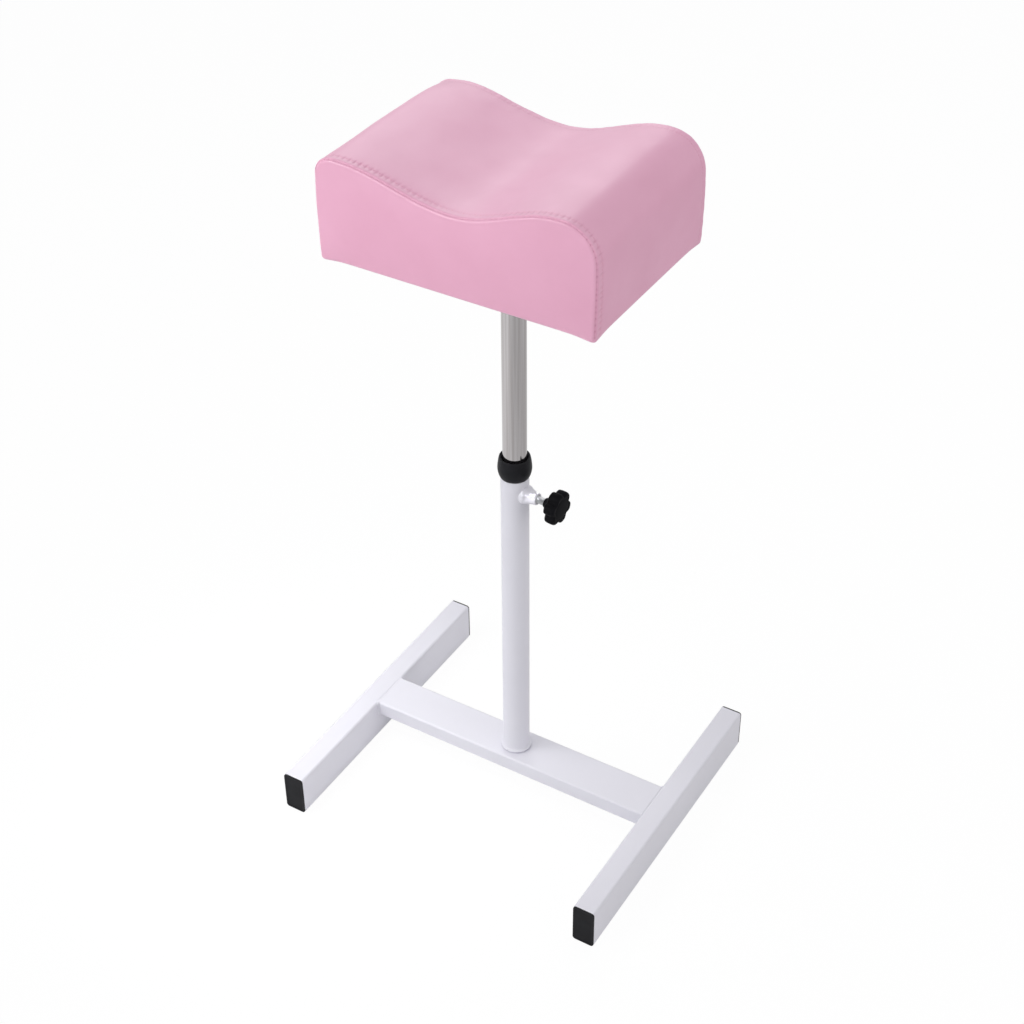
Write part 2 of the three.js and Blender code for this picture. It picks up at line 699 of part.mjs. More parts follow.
// Keeps the underside flat while the sides and top are rolled in or crowned
function ringAt(inset, roll, place) {
  const draw = 1 - (2 * roll) / CUSHION_WIDTH;
  return cushionOutline(inset).map(([x, z]) => {
    const lift = (z - CUSHION_UNDERSIDE - inset) / CUSHION_HEIGHT;
    return new THREE.Vector3(x * draw, place, z - roll * Math.max(lift, 0));
  });
}

function buildCover() {
  const outer = solidOf(cushionForm(0));
  const inner = solidOf(cushionForm(COVER_THICKNESS));
  const low = CUSHION_UNDERSIDE - CUT_OVERRUN;
  const high = CUSHION_UNDERSIDE + COVER_THICKNESS + CUT_OVERRUN;
  const mouth = slab(
    CUSHION_WIDTH - 2 * COVER_TURN_UNDER, CUSHION_DEPTH - 2 * COVER_TURN_UNDER, low, high,
  );
  const shell = outer.subtract(inner).subtract(solidOf(mouth));
  const seam = CUSHION_DEPTH / 2 - COVER_THICKNESS - SEAT_GAP / 2;
  const reach = CUSHION_DEPTH + CUSHION_WIDTH;
  const turnUnderHigh = CUSHION_UNDERSIDE + COVER_THICKNESS + SEAT_GAP / 2;
  const turnUnderWidth = CUSHION_WIDTH - 4 * COVER_TURN_UNDER;
  const panelSpace = (side, gap) => {
    const face = slab(reach, reach, 0, 2 * humpTop).translate(0, side * (seam - gap + reach / 2), 0);
    const under = slab(turnUnderWidth + 2 * gap, reach, low, turnUnderHigh + gap)
      .translate(0, side * (CUSHION_DEPTH / 2 - COVER_TURN_UNDER - CUT_OVERRUN + reach / 2), 0);
    return solidOf(face).add(solidOf(under));
  };
  return {
    front: geometryOf(shell.intersect(panelSpace(-1, 0))),
    back: geometryOf(shell.intersect(panelSpace(1, 0))),
    strip: geometryOf(shell.subtract(panelSpace(-1, SEAT_GAP)).subtract(panelSpace(1, SEAT_GAP))),
  };
}

function buildFoam() {
  const core = solidOf(cushionForm(COVER_THICKNESS + SEAT_GAP));
  const reach = 2 * CUSHION_WIDTH;
  const above = slab(reach, reach, foamBottom, 2 * humpTop);
  return geometryOf(core.intersect(solidOf(above)));
}

function at(mesh, x, y, z) {
  mesh.position.set(x, y, z);
  return mesh;
}

const footrest = new THREE.Group();
const { whiteCoat, blackPlastic, chrome, zinc, nylon, leatherette, dustCloth, plywood, foam } = finishes;

// Base
const base = new THREE.Group();
for (const [side, x] of [['left', -railPlace], ['right', railPlace]]) {
  base.add(at(piece(`${side}_rail`, buildRail(), ...whiteCoat), x, 0, 0));
  const frontCap = piece(`${side}_front_cap`, buildCap(), ...blackPlastic);
  base.add(at(frontCap, x, -BASE_DEPTH / 2, RAIL_HEIGHT / 2));
  const rearCap = piece(`${side}_rear_cap`, buildCap(), ...blackPlastic);
  rearCap.rotation.z = Math.PI;
  base.add(at(rearCap, x, BASE_DEPTH / 2, RAIL_HEIGHT / 2));
}
base.add(piece('crossbar', buildCrossbar(), ...whiteCoat));
const washerTop = crossbarTop - TUBE_WALL;
const springTop = washerTop - FOOT_WASHER;
const screwSeat = springTop - SPRING_WASHER;
const footWasher = pipe(FOOT_WASHER_OD, footBore, springTop, washerTop, SMALL_STEPS);
base.add(piece('foot_washer', footWasher, ...zinc));
base.add(piece('foot_spring_washer', buildSpringWasher(screwSeat), ...zinc));
const footScrew = buildSocketScrew(
  FOOT_SCREW_OD, FOOT_SCREW_LENGTH, FOOT_SCREW_HEAD_OD, FOOT_SCREW_HEAD,
  FOOT_SCREW_SOCKET, FOOT_SCREW_SOCKET_DEPTH,
);
base.add(at(piece('foot_screw', footScrew, ...zinc), 0, 0, screwSeat));
base.add(piece('post', buildPost(), ...whiteCoat));
base.add(piece('post_foot_plug', buildFootPlug(), ...zinc));
base.add(piece('collar', buildCollar(), ...blackPlastic));
footrest.add(base);

// Clamp
const clamp = new THREE.Group();
clamp.position.z = clampHeight;
clamp.rotation.z = CLAMP_TURN;
clamp.add(piece('clamp_boss', buildBoss(), ...whiteCoat));
clamp.add(piece('clamp_pad', buildPad(), ...nylon));
clamp.add(piece('clamp_screw', buildClampScrew(), ...zinc));
clamp.add(piece('clamp_knob', buildKnob(), ...blackPlastic));
footrest.add(clamp);

// Mast
const mast = new THREE.Group();
mast.position.z = mastFoot;
mast.add(piece('mast', buildMast(), ...chrome));
mast.add(piece('mast_plug', buildMastPlug(), ...blackPlastic));
mast.add(piece('guide_ring', buildGuideRing(), ...nylon));
footrest.add(mast);

// Cushion
const cushion = new THREE.Group();
cushion.add(piece('mounting_plate', buildPlate(), ...zinc));
screwPlaces.forEach(([x, y], i) => {
  const screw = buildSocketScrew(
    PLATE_SCREW_OD, PLATE_SCREW_LENGTH, PLATE_SCREW_HEAD_OD, PLATE_SCREW_HEAD,
    PLATE_SCREW_SOCKET, PLATE_SCREW_SOCKET_DEPTH,
  );
  cushion.add(at(piece(`plate_screw_${i + 1}`, screw, ...zinc), x, y, plateBottom));
  cushion.add(at(piece(`tnut_${i + 1}`, buildTnut(), ...zinc), x, y, boardTop));
});
const cover = buildCover();
cushion.add(piece('dust_cover', buildDustCover(), ...dustCloth));
cushion.add(piece('seat_board', buildBoard(), ...plywood));
cushion.add(piece('foam_core', buildFoam(), ...foam));
cushion.add(piece('cover_front_panel', cover.front, ...leatherette));
cushion.add(piece('cover_back_panel', cover.back, ...leatherette));
cushion.add(piece('cover_strip', cover.strip, ...leatherette));
footrest.add(cushion);

export default footrest;
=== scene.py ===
"""Looks of a pedicure footrest on its CAD frame. Metres, +Z up, +X along the crossbar, -Y the front."""
import math

import bmesh
import bpy
from mathutils import Matrix, Vector, kdtree, noise
from mathutils.bvhtree import BVHTree


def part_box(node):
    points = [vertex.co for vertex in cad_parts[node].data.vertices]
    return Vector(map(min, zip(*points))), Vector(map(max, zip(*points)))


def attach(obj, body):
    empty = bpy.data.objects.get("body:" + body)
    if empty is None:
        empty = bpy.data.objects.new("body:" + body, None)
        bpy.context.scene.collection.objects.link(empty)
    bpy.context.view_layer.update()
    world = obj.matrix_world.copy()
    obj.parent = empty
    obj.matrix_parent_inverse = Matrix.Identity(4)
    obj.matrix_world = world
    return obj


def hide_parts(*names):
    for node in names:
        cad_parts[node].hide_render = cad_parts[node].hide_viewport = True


MM = 0.001
FULL_TURN = 2 * math.pi
QUARTER_TURN = math.pi / 2
TOUCHING = 0.00001

# Base, millimetres
TUBE_WALL = 1.5
TUBE_CORNER = 2.6
FOOT_HOLE = 4.3
ACCESS_HOLE = 10
WELD_RADIUS = 2
WELD_CORNER = 3
WELD_STEP = 0.9
WELD_RIPPLE_SHARE = 0.1
WELD_GROUND_SHARE = 0.62
WELD_SINK = 1.35
CAP_FLANGE = 1.5
CAP_CORNER = 3.4
CAP_RIM = 2.6
CAP_PANEL_EDGE = 0.5
CAP_PANEL_SINK = 0.35
CAP_SOFTNESS = 0.5
CAP_FLOOR = 0.1
INSERT_GAP = 2.1
INSERT_WALL = 2
INSERT_HALF = (11, 23)
BARB = 0.3
BARB_STEPS = ((0.4, BARB), (1.2, 0), (0.4, -BARB))
INSERT_STEPS = ((4, 0), *BARB_STEPS, (3, 0), *BARB_STEPS, (4, 0))

# Post and clamp, millimetres; places along the clamp are measured from the mast's middle
POST_BORE = 13.8
POST_RADIUS = 15
CLAMP_HEIGHT = 415
CLAMP_TURN = math.radians(-4)
PAD_HOLE = 4.5
BOSS_START = 10
BOSS_BORE = 4.3
STUD_START = 15.6
STUD_THREAD_START = 16.8
STUD_THREAD_END = 46.4
STUD_HEAD = 47
STUD_PITCH = 1.25
STUD_THREAD_DEPTH = 0.62
KNOB_HUB_END = 42
KNOB_LOBES = 6
LOBE_PHASE = math.radians(11)
LOBE_START = 8
LOBE_REACH = 9
LOBE_DEPTH_SHARE = 0.22

# Mast and plate, millimetres
MAST_RADIUS = 12.7
MAST_BORE = 11.2
MAST_EDGE = 0.3
WELD_WAVES = 34
PLATE_CORNER = 10
PLATE_HOLE = 3.3
SCREW_PLACES = ((-52, -32), (52, -32), (-52, 32), (52, 32))
SCREW_RADIUS = 2.95
SCREW_LENGTH = 16
SCREW_HEAD = 3.6
SCREW_THREAD_DEPTH = 0.5
KEY_RADIUS = 2.3

# Cushion, metres; a hump is its place, its height and the radius of its shoulder
CUSHION_WIDTH = 0.2935
CUSHION_DEPTH = 0.2078
CUSHION_SHIFT = -0.0024
CUSHION_UNDERSIDE = 0.6998
VALLEY_HEIGHT = 0.0842
LEFT_HUMP = (0.1246, 0.1062, 0.0192)
RIGHT_HUMP = (0.1093, 0.1104, 0.035)
BOTTOM_RADIUS = 0.003
EDGE_RADIUS = 0.0022
BOTTOM_EDGE_RADIUS = 0.0034
SIDE_BOW = 0.0012
START_SMALLER = 0.0012
MOST_SWELLING = 0.0026
PANEL_CROWN = 0.0030
CROWN_FALL = 0.015
CORNER_DROOP = 0.0024
DROOP_HEIGHT, DROOP_WIDTH = 0.03, 0.016
SHOULDER_X, SHOULDER_BACK_Y = -0.140, 0.104
SHOULDER_START, SHOULDER_RISE = 0.0602, 0.03
FILL_HEIGHT, FILL_WIDTH, FILL_REACH = 0.0026, 0.035, 0.1
WEAR_DEPTH, WEAR_WIDTH = 0.0048, 0.032
HELD_BELOW = 0.004
COVER_THICKNESS = 0.0012
FOAM_GAP = 0.0008
TURN_UNDER = 0.024
FLAT_BELOW = 0.0015

# Swelling and evening out; the last is a share
PUFF_FRAMES = 20
EVENING_ROUNDS = 40
EVENING = 0.6

# Dust cover, metres
CLOTH_CORNER = 0.012
CLOTH_THICKNESS = 0.0004
CLOTH_SAG = 0.00012
CLOTH_HOLE = 0.0036

# The skin's mesh, with distances from the seam in millimetres
ACROSS_STEPS, ACROSS_PRESS = 80, 0.3
UPRIGHT_STEPS, UPRIGHT_PRESS = 24, 0.75
STRIP_STATIONS = (0, 1.2, 2.6, 4.4, 6.6, 8.8, 11.5, 16.5, 28, 46, 72, 105.5)
PANEL_RINGS = (9.5, 6, 3.6, 2.0, 0.9)
FRONT, STRIP, BACK = 0, 1, 2

# Seams, metres, with painted shades, shares and losses from 0 to 1, and scales per metre
SEAM_ANGLE = math.radians(45)
SEAM_REACH = 0.03
STITCH_PITCH = 0.006
STITCH_LENGTH = 0.0048
STITCH_DIP = 0.00055
THREAD_WIDTH, THREAD_HEIGHT = 0.0006, 0.0005
STITCH_ROW = 0.0082
LOWEST_STITCH = 0.008
LOOK_FROM = 0.012
GROOVE_WIDTH, GROOVE_DEPTH, HOLE_DEPTH = 0.0009, 0.00055, 0.0003
RIDGE_PLACE, RIDGE_WIDTH, RIDGE_HEIGHT = 0.0030, 0.0016, 0.00022
GATHER_WIDTH, GATHER_DEPTH = 0.016, 0.00028
ROW_WIDTH, ROW_DEPTH = 0.0011, 0.00012
PUCKER_PLACE, PUCKER_WIDTH, PUCKER_DEPTH = 0.0068, 0.0032, 0.0006
VALLEY_PUCKER_LOSS, BACK_PUCKER_SHARE = 0.85, 0.35
# How much shade is painted into the cover's colour in the seam's groove, its needle holes, the stitch row and
# the puckers; the SIDE values hold on the upright sides.
GROOVE_SHADE, HOLE_SHADE, ROW_SHADE, PUCKER_SHADE = 0.42, 0.12, 0.08, 0.52
SIDE_GROOVE_SHADE, SIDE_HOLE_SHADE = 0.26, 0.62
SIDE_START, SIDE_RISE = 0.12, 0.02
VALLEY_X, VALLEY_WIDTH = 0.012, 0.034
WAVE_SCALE, WAVE_HEIGHT, WAVE_RISE = 26, 0.0005, 0.02
RIPPLE_SCALE, RIPPLE_HEIGHT = 60, 0.00018
SEAM_START, SEAM_RISE = 0.002, 0.006
SEAM_SPLITS = 9


# Modelling

def corners(node):
    """The lowest and highest corner of a CAD node, in millimetres."""
    return [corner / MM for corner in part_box(node)]


def limit(value):
    return min(max(value, 0), 1)


def shares(count):
    """Even steps from 0 to 1."""
    return [i / count for i in range(count + 1)]


def blend(first, second, share):
    return first + (second - first) * share


def between(a, b, share):
    """The point on the way from one point of a curve to another."""
    return blend(a[0], b[0], share), blend(a[1], b[1], share)


def hill(offset, width):
    """A bell that is 1 in the middle and fades with distance."""
    return math.exp(-(offset / width) ** 2)


def select_only(obj):
    if bpy.context.object and bpy.context.object.mode != "OBJECT":
        bpy.ops.object.mode_set(mode="OBJECT")
    bpy.ops.object.select_all(action="DESELECT")
    if obj:
        obj.select_set(True)
        bpy.context.view_layer.objects.active = obj


def named(obj, name):
    obj.name = name
    obj.data.name = name
    return obj


def linked(name, data):
    """A new object in the scene that shows this mesh, curve, lamp or camera."""
    obj = bpy.data.objects.new(name, data)
    bpy.context.collection.objects.link(obj)
    return obj


def from_points(name, points, faces):
    mesh = bpy.data.meshes.new(name)
    mesh.from_pydata(points, [], faces)
    return linked(name, mesh)


def settle(obj):
    """Puts the object's place, turn and size into its mesh."""
    select_only(obj)
    bpy.ops.object.transform_apply(location=True, rotation=True, scale=True)
    return obj


def block(name, low, high):
    """A cube primitive between two corners given in millimetres."""
    low, high = Vector(low) * MM, Vector(high) * MM
    select_only(None)
    bpy.ops.mesh.primitive_cube_add(size=1, location=(low + high) / 2)
    obj = named(bpy.context.object, name)
    obj.scale = high - low
    return settle(obj)


def pick_all(obj):
    """Opens edit mode with everything selected."""
    select_only(obj)
    bpy.ops.object.mode_set(mode="EDIT")
    bpy.ops.mesh.select_mode(type="VERT")
    bpy.ops.mesh.select_all(action="SELECT")


def pick(obj, kind, test):
    """Opens edit mode with the faces or edges selected whose place, and normal or run, pass a test."""
    select_only(obj)
    bpy.ops.object.mode_set(mode="EDIT")
    bpy.ops.mesh.select_mode(type=kind)
    bpy.ops.mesh.select_all(action="DESELECT")
    mesh = bmesh.from_edit_mesh(obj.data)
    if kind == "FACE":
        parts = [(face, face.calc_center_median(), face.normal) for face in mesh.faces]
    else:
        ends = [(edge, edge.verts[0].co, edge.verts[1].co) for edge in mesh.edges]
        parts = [(edge, (start + end) / 2, end - start) for edge, start, end in ends]
    for part, place, way in parts:
        if test(place, way):
            part.select_set(True)
    mesh.select_flush_mode()
    bmesh.update_edit_mesh(obj.data)


def leave_edit():
    bpy.ops.object.mode_set(mode="OBJECT")


def pull(distance):
    """Extrudes the selected faces along Y, by millimetres."""
    bpy.ops.mesh.extrude_region_move(TRANSFORM_OT_translate={"value": (0, distance * MM, 0)})


def round_along(obj, axis, radius, segments):
    """Rounds the edges that run along an axis, by millimetres, and stays in edit mode."""
    pick(obj, "EDGE", lambda place, run: abs(run[axis]) > 0.9 * run.length)
    bpy.ops.mesh.bevel(offset=radius * MM, segments=segments, affect="EDGES")


def apply_modifier(obj, kind, **settings):
    select_only(obj)
    modifier = obj.modifiers.new(kind.lower(), kind)
    for setting, value in settings.items():
        setattr(modifier, setting, value)
    bpy.ops.object.modifier_apply(modifier=modifier.name)


def soften(obj, width, degrees, segments=2):
    """Bevels the edges that are sharper than an angle, by millimetres."""
    apply_modifier(obj, "BEVEL", width=width * MM, segments=segments, limit_method="ANGLE",
                   angle_limit=math.radians(degrees))


def smooth(obj, degrees=35, weighted=False):
    select_only(obj)
    bpy.ops.object.shade_smooth_by_angle(angle=math.radians(degrees))
    if weighted:
        apply_modifier(obj, "WEIGHTED_NORMAL", keep_sharp=True, weight=100)
    return obj


def drill(obj, place, radius, depth, turn=(0, 0, 0), sides=48):
    """Cuts a round hole about a point given in millimetres."""
    select_only(None)
    bpy.ops.mesh.primitive_cylinder_add(
        vertices=sides, radius=radius * MM, depth=depth * MM, location=Vector(place) * MM, rotation=turn)
    cutter = bpy.context.object
    apply_modifier(obj, "BOOLEAN", operation="DIFFERENCE", object=cutter, solver="EXACT")
    bpy.data.objects.remove(cutter)


def merge_and_turn_out():
    """Merges what touches in the open mesh and turns its faces outwards."""
    bpy.ops.mesh.select_all(action="SELECT")
    bpy.ops.mesh.remove_doubles(threshold=TOUCHING)
    bpy.ops.mesh.normals_make_consistent(inside=False)
    leave_edit()


def turned(name, profile, steps=96, base=0):
    """A profile of radius and height above a base, in millimetres, drawn point by point and spun about Z."""
    select_only(None)
    bpy.ops.mesh.primitive_plane_add(size=MM, enter_editmode=True)
    obj = named(bpy.context.object, name)
    bpy.ops.mesh.select_mode(type="VERT")
    bpy.ops.mesh.merge(type="CENTER")
    points = [Vector((radius, 0, base + height)) * MM for radius, height in profile]
    bpy.ops.transform.translate(value=points[0])
    for start, end in zip(points, points[1:]):
        bpy.ops.mesh.extrude_vertices_move(TRANSFORM_OT_translate={"value": end - start})
    bpy.ops.mesh.select_all(action="SELECT")
    bpy.ops.mesh.spin(steps=steps, angle=FULL_TURN, center=(0, 0, 0), axis=(0, 0, 1))
    merge_and_turn_out()
    return obj


def rounded(points, rounds=2, share=0.25):
    """Softens an open profile by cutting its corners; the ends stay."""
    for _ in range(rounds):
        softer = [points[0]]
        for a, b in zip(points, points[1:]):
            softer += [between(a, b, share), between(b, a, share)]
        points = softer + [points[-1]]
    return points


def reshape(obj, move):
    """Moves each point of a mesh by a formula."""
    for point in obj.data.vertices:
        point.co = move(point.co.copy())
    obj.data.update()


def about_z(point):
    """A point's distance from Z and its height, in millimetres, and its angle about Z."""
    return math.hypot(point.x, point.y) / MM, point.z / MM, math.atan2(point.y, point.x)


def drawn_in(point, share):
    """The point with its distance from Z multiplied by a share."""
    return Vector((point.x * share, point.y * share, point.z))


def threaded(point, pitch, depth):
    """The point of a screw's flank moved in to its helical thread; pitch and depth in millimetres."""
    _, height, angle = about_z(point)
    flight = (height / pitch - angle / FULL_TURN) % 1
    return point - Vector((point.x, point.y, 0)).normalized() * depth * abs(2 * flight - 1) * MM


def copy_to(obj, name, move):
    """A copy with its own mesh, moved by a matrix."""
    twin = linked(name, obj.data.copy())
    twin.data.transform(move)
    return named(twin, name)


def finish_piece(obj, material, body, slot, *nodes):
    obj.data.materials.clear()
    obj.data.materials.append(material)
    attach(obj, body)
    if nodes:
        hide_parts(*nodes)
    return obj


# Materials

def add_node(tree, kind, inputs=None, **settings):
    """A node with its settings; inputs are values or sockets, by name or number."""
    node = tree.nodes.new(kind)
    for setting, value in settings.items():
        setattr(node, setting, value)
    for key, value in (inputs or {}).items():
        if isinstance(value, bpy.types.NodeSocket):
            tree.links.new(value, node.inputs[key])
        else:
            node.inputs[key].default_value = value
    return node


def calculate(tree, operation, first, second):
    return add_node(tree, "ShaderNodeMath", {0: first, 1: second}, operation=operation).outputs[0]


def move_vector(tree, operation, first, second):
    """Vector arithmetic; SCALE takes a number as its second value."""
    key = "Scale" if operation == "SCALE" else 1
    return add_node(tree, "ShaderNodeVectorMath", {0: first, key: second}, operation=operation).outputs[0]


def new_group(name, output, **numbers):
    """A shader group that takes a vector and numbers and puts out one value, with its inputs and its exit."""
    tree = bpy.data.node_groups.new(name, "ShaderNodeTree")
    tree.interface.new_socket("Vector", in_out="INPUT", socket_type="NodeSocketVector")
    for title, default in numbers.items():
        socket = tree.interface.new_socket(title, in_out="INPUT", socket_type="NodeSocketFloat")
        socket.default_value = default
    tree.interface.new_socket(output, in_out="OUTPUT", socket_type="NodeSocketFloat")
    return tree, tree.nodes.new("NodeGroupInput").outputs, tree.nodes.new("NodeGroupOutput").inputs[output]


def build_pebble_grain():
    """Soft pebbles with finer pores, as on leatherette and moulded plastic."""
    tree, entry, leave = new_group("pebble_grain", "Relief", Scale=900.0, Pores=0.3)
    place, scale = entry["Vector"], entry["Scale"]
    drift = add_node(tree, "ShaderNodeTexNoise", {
        "Vector": place, "Scale": calculate(tree, "MULTIPLY", scale, 0.45), "Detail": 1.0})
    push = move_vector(tree, "SUBTRACT", drift.outputs["Color"], (0.5, 0.5, 0.5))
    push = move_vector(tree, "SCALE", push, calculate(tree, "DIVIDE", 0.9, scale))
    pushed = move_vector(tree, "ADD", place, push)
    cells = add_node(tree, "ShaderNodeTexVoronoi", {
        "Vector": pushed, "Scale": scale, "Smoothness": 0.6}, feature="SMOOTH_F1")
    pores = add_node(tree, "ShaderNodeTexNoise", {
        "Vector": place, "Scale": calculate(tree, "MULTIPLY", scale, 2.3), "Detail": 2.0})
    fine = calculate(tree, "MULTIPLY", pores.outputs["Fac"], entry["Pores"])
    tree.links.new(calculate(tree, "SUBTRACT", fine, cells.outputs["Distance"]), leave)
    return tree


def build_blotches():
    """A slow change between a low and a high value, as handling and plating leave it."""
    tree, entry, leave = new_group("blotches", "Value", Scale=20.0, Low=0.3, High=0.4)
    cloud = add_node(tree, "ShaderNodeTexNoise", {
        "Vector": entry["Vector"], "Scale": entry["Scale"], "Detail": 4.0, "Roughness": 0.55})
    level = add_node(tree, "ShaderNodeMapRange", {
        "Value": cloud.outputs["Fac"], "From Min": 0.3, "From Max": 0.7, "To Min": entry["Low"],
        "To Max": entry["High"]})
    tree.links.new(level.outputs[0], leave)
    return tree


pebble_grain = build_pebble_grain()
blotches = build_blotches()


class Finish:
    """A material with its Principled shader and its piece's Object coordinates."""

    def __init__(self, name, **inputs):
        self.material = bpy.data.materials.new(name)
        self.material.use_nodes = True
        self.tree = self.material.node_tree
        self.shader = self.tree.nodes["Principled BSDF"]
        self.place = self.tree.nodes.new("ShaderNodeTexCoord").outputs["Object"]
        for socket, value in inputs.items():
            self.shader.inputs[socket.replace("_", " ")].default_value = value

    def feed(self, socket, value):
        self.tree.links.new(value, self.shader.inputs[socket])

    def effect(self, group, **values):
        inputs = {"Vector": self.place, **values}
        return add_node(self.tree, "ShaderNodeGroup", inputs, node_tree=group).outputs[0]

    def blotch(self, scale, low, high):
        return self.effect(blotches, Scale=scale, Low=low, High=high)

    def grain(self, scale, pores):
        return self.effect(pebble_grain, Scale=scale, Pores=pores)

    def speckle(self, scale, detail=2.0, stretch=None):
        place = self.place
        if stretch:
            place = add_node(self.tree, "ShaderNodeMapping", {"Vector": place, "Scale": stretch}).outputs[0]
        inputs = {"Vector": place, "Scale": scale, "Detail": detail}
        return add_node(self.tree, "ShaderNodeTexNoise", inputs).outputs[0]

    def relief(self, height, strength, distance):
        inputs = {"Height": height, "Strength": strength, "Distance": distance}
        self.feed("Normal", add_node(self.tree, "ShaderNodeBump", inputs).outputs[0])

    def two_tone(self, factor, first, second):
        inputs = {0: factor, 6: (*first, 1), 7: (*second, 1)}
        self.feed("Base Color", add_node(self.tree, "ShaderNodeMix", inputs, data_type="RGBA").outputs[2])


def mottled(name, patches, tones, gloss, relief, pores=None, **inputs):
    """Slow patches between two tones and of gloss. The relief's scale, strength and distance are those of a
    fine speckle, or of pebbles where the finish has pores."""
    finish = Finish(name, **inputs)
    finish.two_tone(finish.blotch(patches, 0, 1), *tones)
    finish.feed("Roughness", finish.blotch(*gloss))
    scale, strength, distance = relief
    finish.relief(finish.grain(scale, pores) if pores else finish.speckle(scale), strength, distance)
    return finish.material


def make_white_coat():
    """White powder coat with a faint orange peel."""
    return mottled("white_coat", 9, ((0.775, 0.765, 0.83), (0.805, 0.795, 0.86)), (35, 0.36, 0.44),
                   (620, 0.10, 0.0002), Coat_Weight=0.15, Coat_Roughness=0.25)


def make_black_plastic(name, dark, light, shine):
    return mottled(name, 60, (dark, light), (80, 0.36, 0.46),
                   (1500, 0.25, 0.0001), 0.5, Specular_IOR_Level=shine)


def make_zinc():
    """Bright zinc plate with a cloudy passivate."""
    return mottled("zinc", 90, ((0.58, 0.59, 0.62), (0.68, 0.68, 0.67)), (140, 0.26, 0.42),
                   (1400, 0.12, 0.0001), Metallic=1.0)


def make_nylon():
    return mottled("nylon", 70, ((0.72, 0.71, 0.66), (0.80, 0.79, 0.74)), (90, 0.45, 0.6),
                   (1100, 0.1, 0.0001), Subsurface_Weight=0.1, Subsurface_Scale=0.001)


def make_thread():
    """Bonded polyester thread a shade deeper than the cover."""
    return mottled("thread", 600, ((0.76, 0.34, 0.47), (0.84, 0.40, 0.53)), (300, 0.5, 0.65),
                   (2600, 0.4, 0.0001), Sheen_Weight=0.3)


def make_foam():
    """Cut upholstery foam with open cells."""
    return mottled("foam", 25, ((0.80, 0.72, 0.46), (0.86, 0.79, 0.55)), (60, 0.88, 0.97),
                   (420, 0.6, 0.0006), 0.6)


def make_chrome():
    """Bright chrome plate with the tube's faint draw lines under it."""
    finish = Finish("chrome", Metallic=1.0)
    lines = add_node(finish.tree, "ShaderNodeMapRange", {
        "Value": finish.speckle(420, 3.0, (1, 1, 0.012)), "From Min": 0.35, "From Max": 0.65}).outputs[0]
    finish.two_tone(lines, (0.50, 0.475, 0.475), (0.63, 0.607, 0.615))
    finish.feed("Roughness", finish.blotch(25, 0.05, 0.10))
    finish.relief(finish.speckle(700, 2.0, (1, 1, 0.015)), 0.12, 0.0001)
    return finish.material


def make_leatherette():
    """Satin upholstery leatherette: fine pebbles and a random blotchy tone, with painted shade, a deeper
    pink, in the seams' grooves, needle holes, stitch rows and puckers.
    """
    finish = Finish("leatherette", Specular_IOR_Level=0.85)
    tree = finish.tree
    painted_seam_shade = add_node(tree, "ShaderNodeAttribute", attribute_name="painted_seam_shade").outputs["Fac"]
    seam_shade_and_blotches = calculate(tree, "ADD", calculate(tree, "MULTIPLY", painted_seam_shade, 0.75), finish.blotch(14, 0, 0.12))
    # Painted shade: the seam attribute pulls the pink towards the second, darker colour; the blotches are the
    # cover's own random tone.
    finish.two_tone(seam_shade_and_blotches, (0.865, 0.435, 0.605), (0.55, 0.17, 0.29))
    seam_roughness = calculate(tree, "MULTIPLY", painted_seam_shade, 0.12)
    finish.feed("Roughness", calculate(tree, "ADD", finish.blotch(28, 0.37, 0.42), seam_roughness))
    finish.relief(finish.grain(950, 0.3), 0.22, 0.00012)
    return finish.material


def make_dust_cloth():
    """Black spunbond cloth: short fibres pressed both ways."""
    finish = Finish("dust_cloth", Sheen_Weight=0.25, Sheen_Roughness=0.6)
    along, across = (finish.speckle(900, 2.0, stretch) for stretch in ((1, 0.12, 1), (0.12, 1, 1)))
    fibres = calculate(finish.tree, "MAXIMUM", along, across)
    finish.two_tone(fibres, (0.010, 0.010, 0.011), (0.040, 0.040, 0.043))
    finish.feed("Roughness", finish.blotch(50, 0.85, 0.97))
    finish.relief(fibres, 0.5, 0.0003)
    return finish.material


def make_plywood():
    """Birch plywood: plies stacked on Z, grain along X."""
    finish = Finish("plywood")
    tree = finish.tree
    plies = add_node(tree, "ShaderNodeTexWave", {"Vector": finish.place, "Scale": 110.0, "Distortion": 0.4},
                     bands_direction="Z").outputs["Fac"]
    grain = finish.speckle(160, 4.0, (0.12, 1, 1))
    figure = calculate(tree, "MULTIPLY", calculate(tree, "ADD", plies, grain), 0.5)
    finish.two_tone(figure, (0.62, 0.45, 0.27), (0.36, 0.22, 0.11))
    finish.feed("Roughness", finish.blotch(40, 0.65, 0.8))
    finish.relief(grain, 0.3, 0.0003)
    return finish.material


# Base

def make_square_tube(node, along):
    """Open rectangular steel tube with rolled corners, in a CAD node's place, along X (0) or Y (1)."""
    tube = block(f"{node}_tube", *corners(node))
    pick(tube, "FACE", lambda place, normal: abs(normal[along]) > 0.9)
    bpy.ops.mesh.delete(type="ONLY_FACE")
    round_along(tube, along, TUBE_CORNER, 6)
    leave_edit()
    apply_modifier(tube, "SOLIDIFY", thickness=TUBE_WALL * MM, offset=-1, use_even_offset=True)
    soften(tube, 0.25, 50)
    return tube


def make_crossbar():
    """The bar with the hole for the post's screw on top and the access hole below it."""
    bar = make_square_tube("crossbar", 0)
    low, high = corners("crossbar")
    drill(bar, (0, 0, high.z - 1), FOOT_HOLE, 6)
    drill(bar, (0, 0, low.z + 1), ACCESS_HOLE, 6)
    return bar


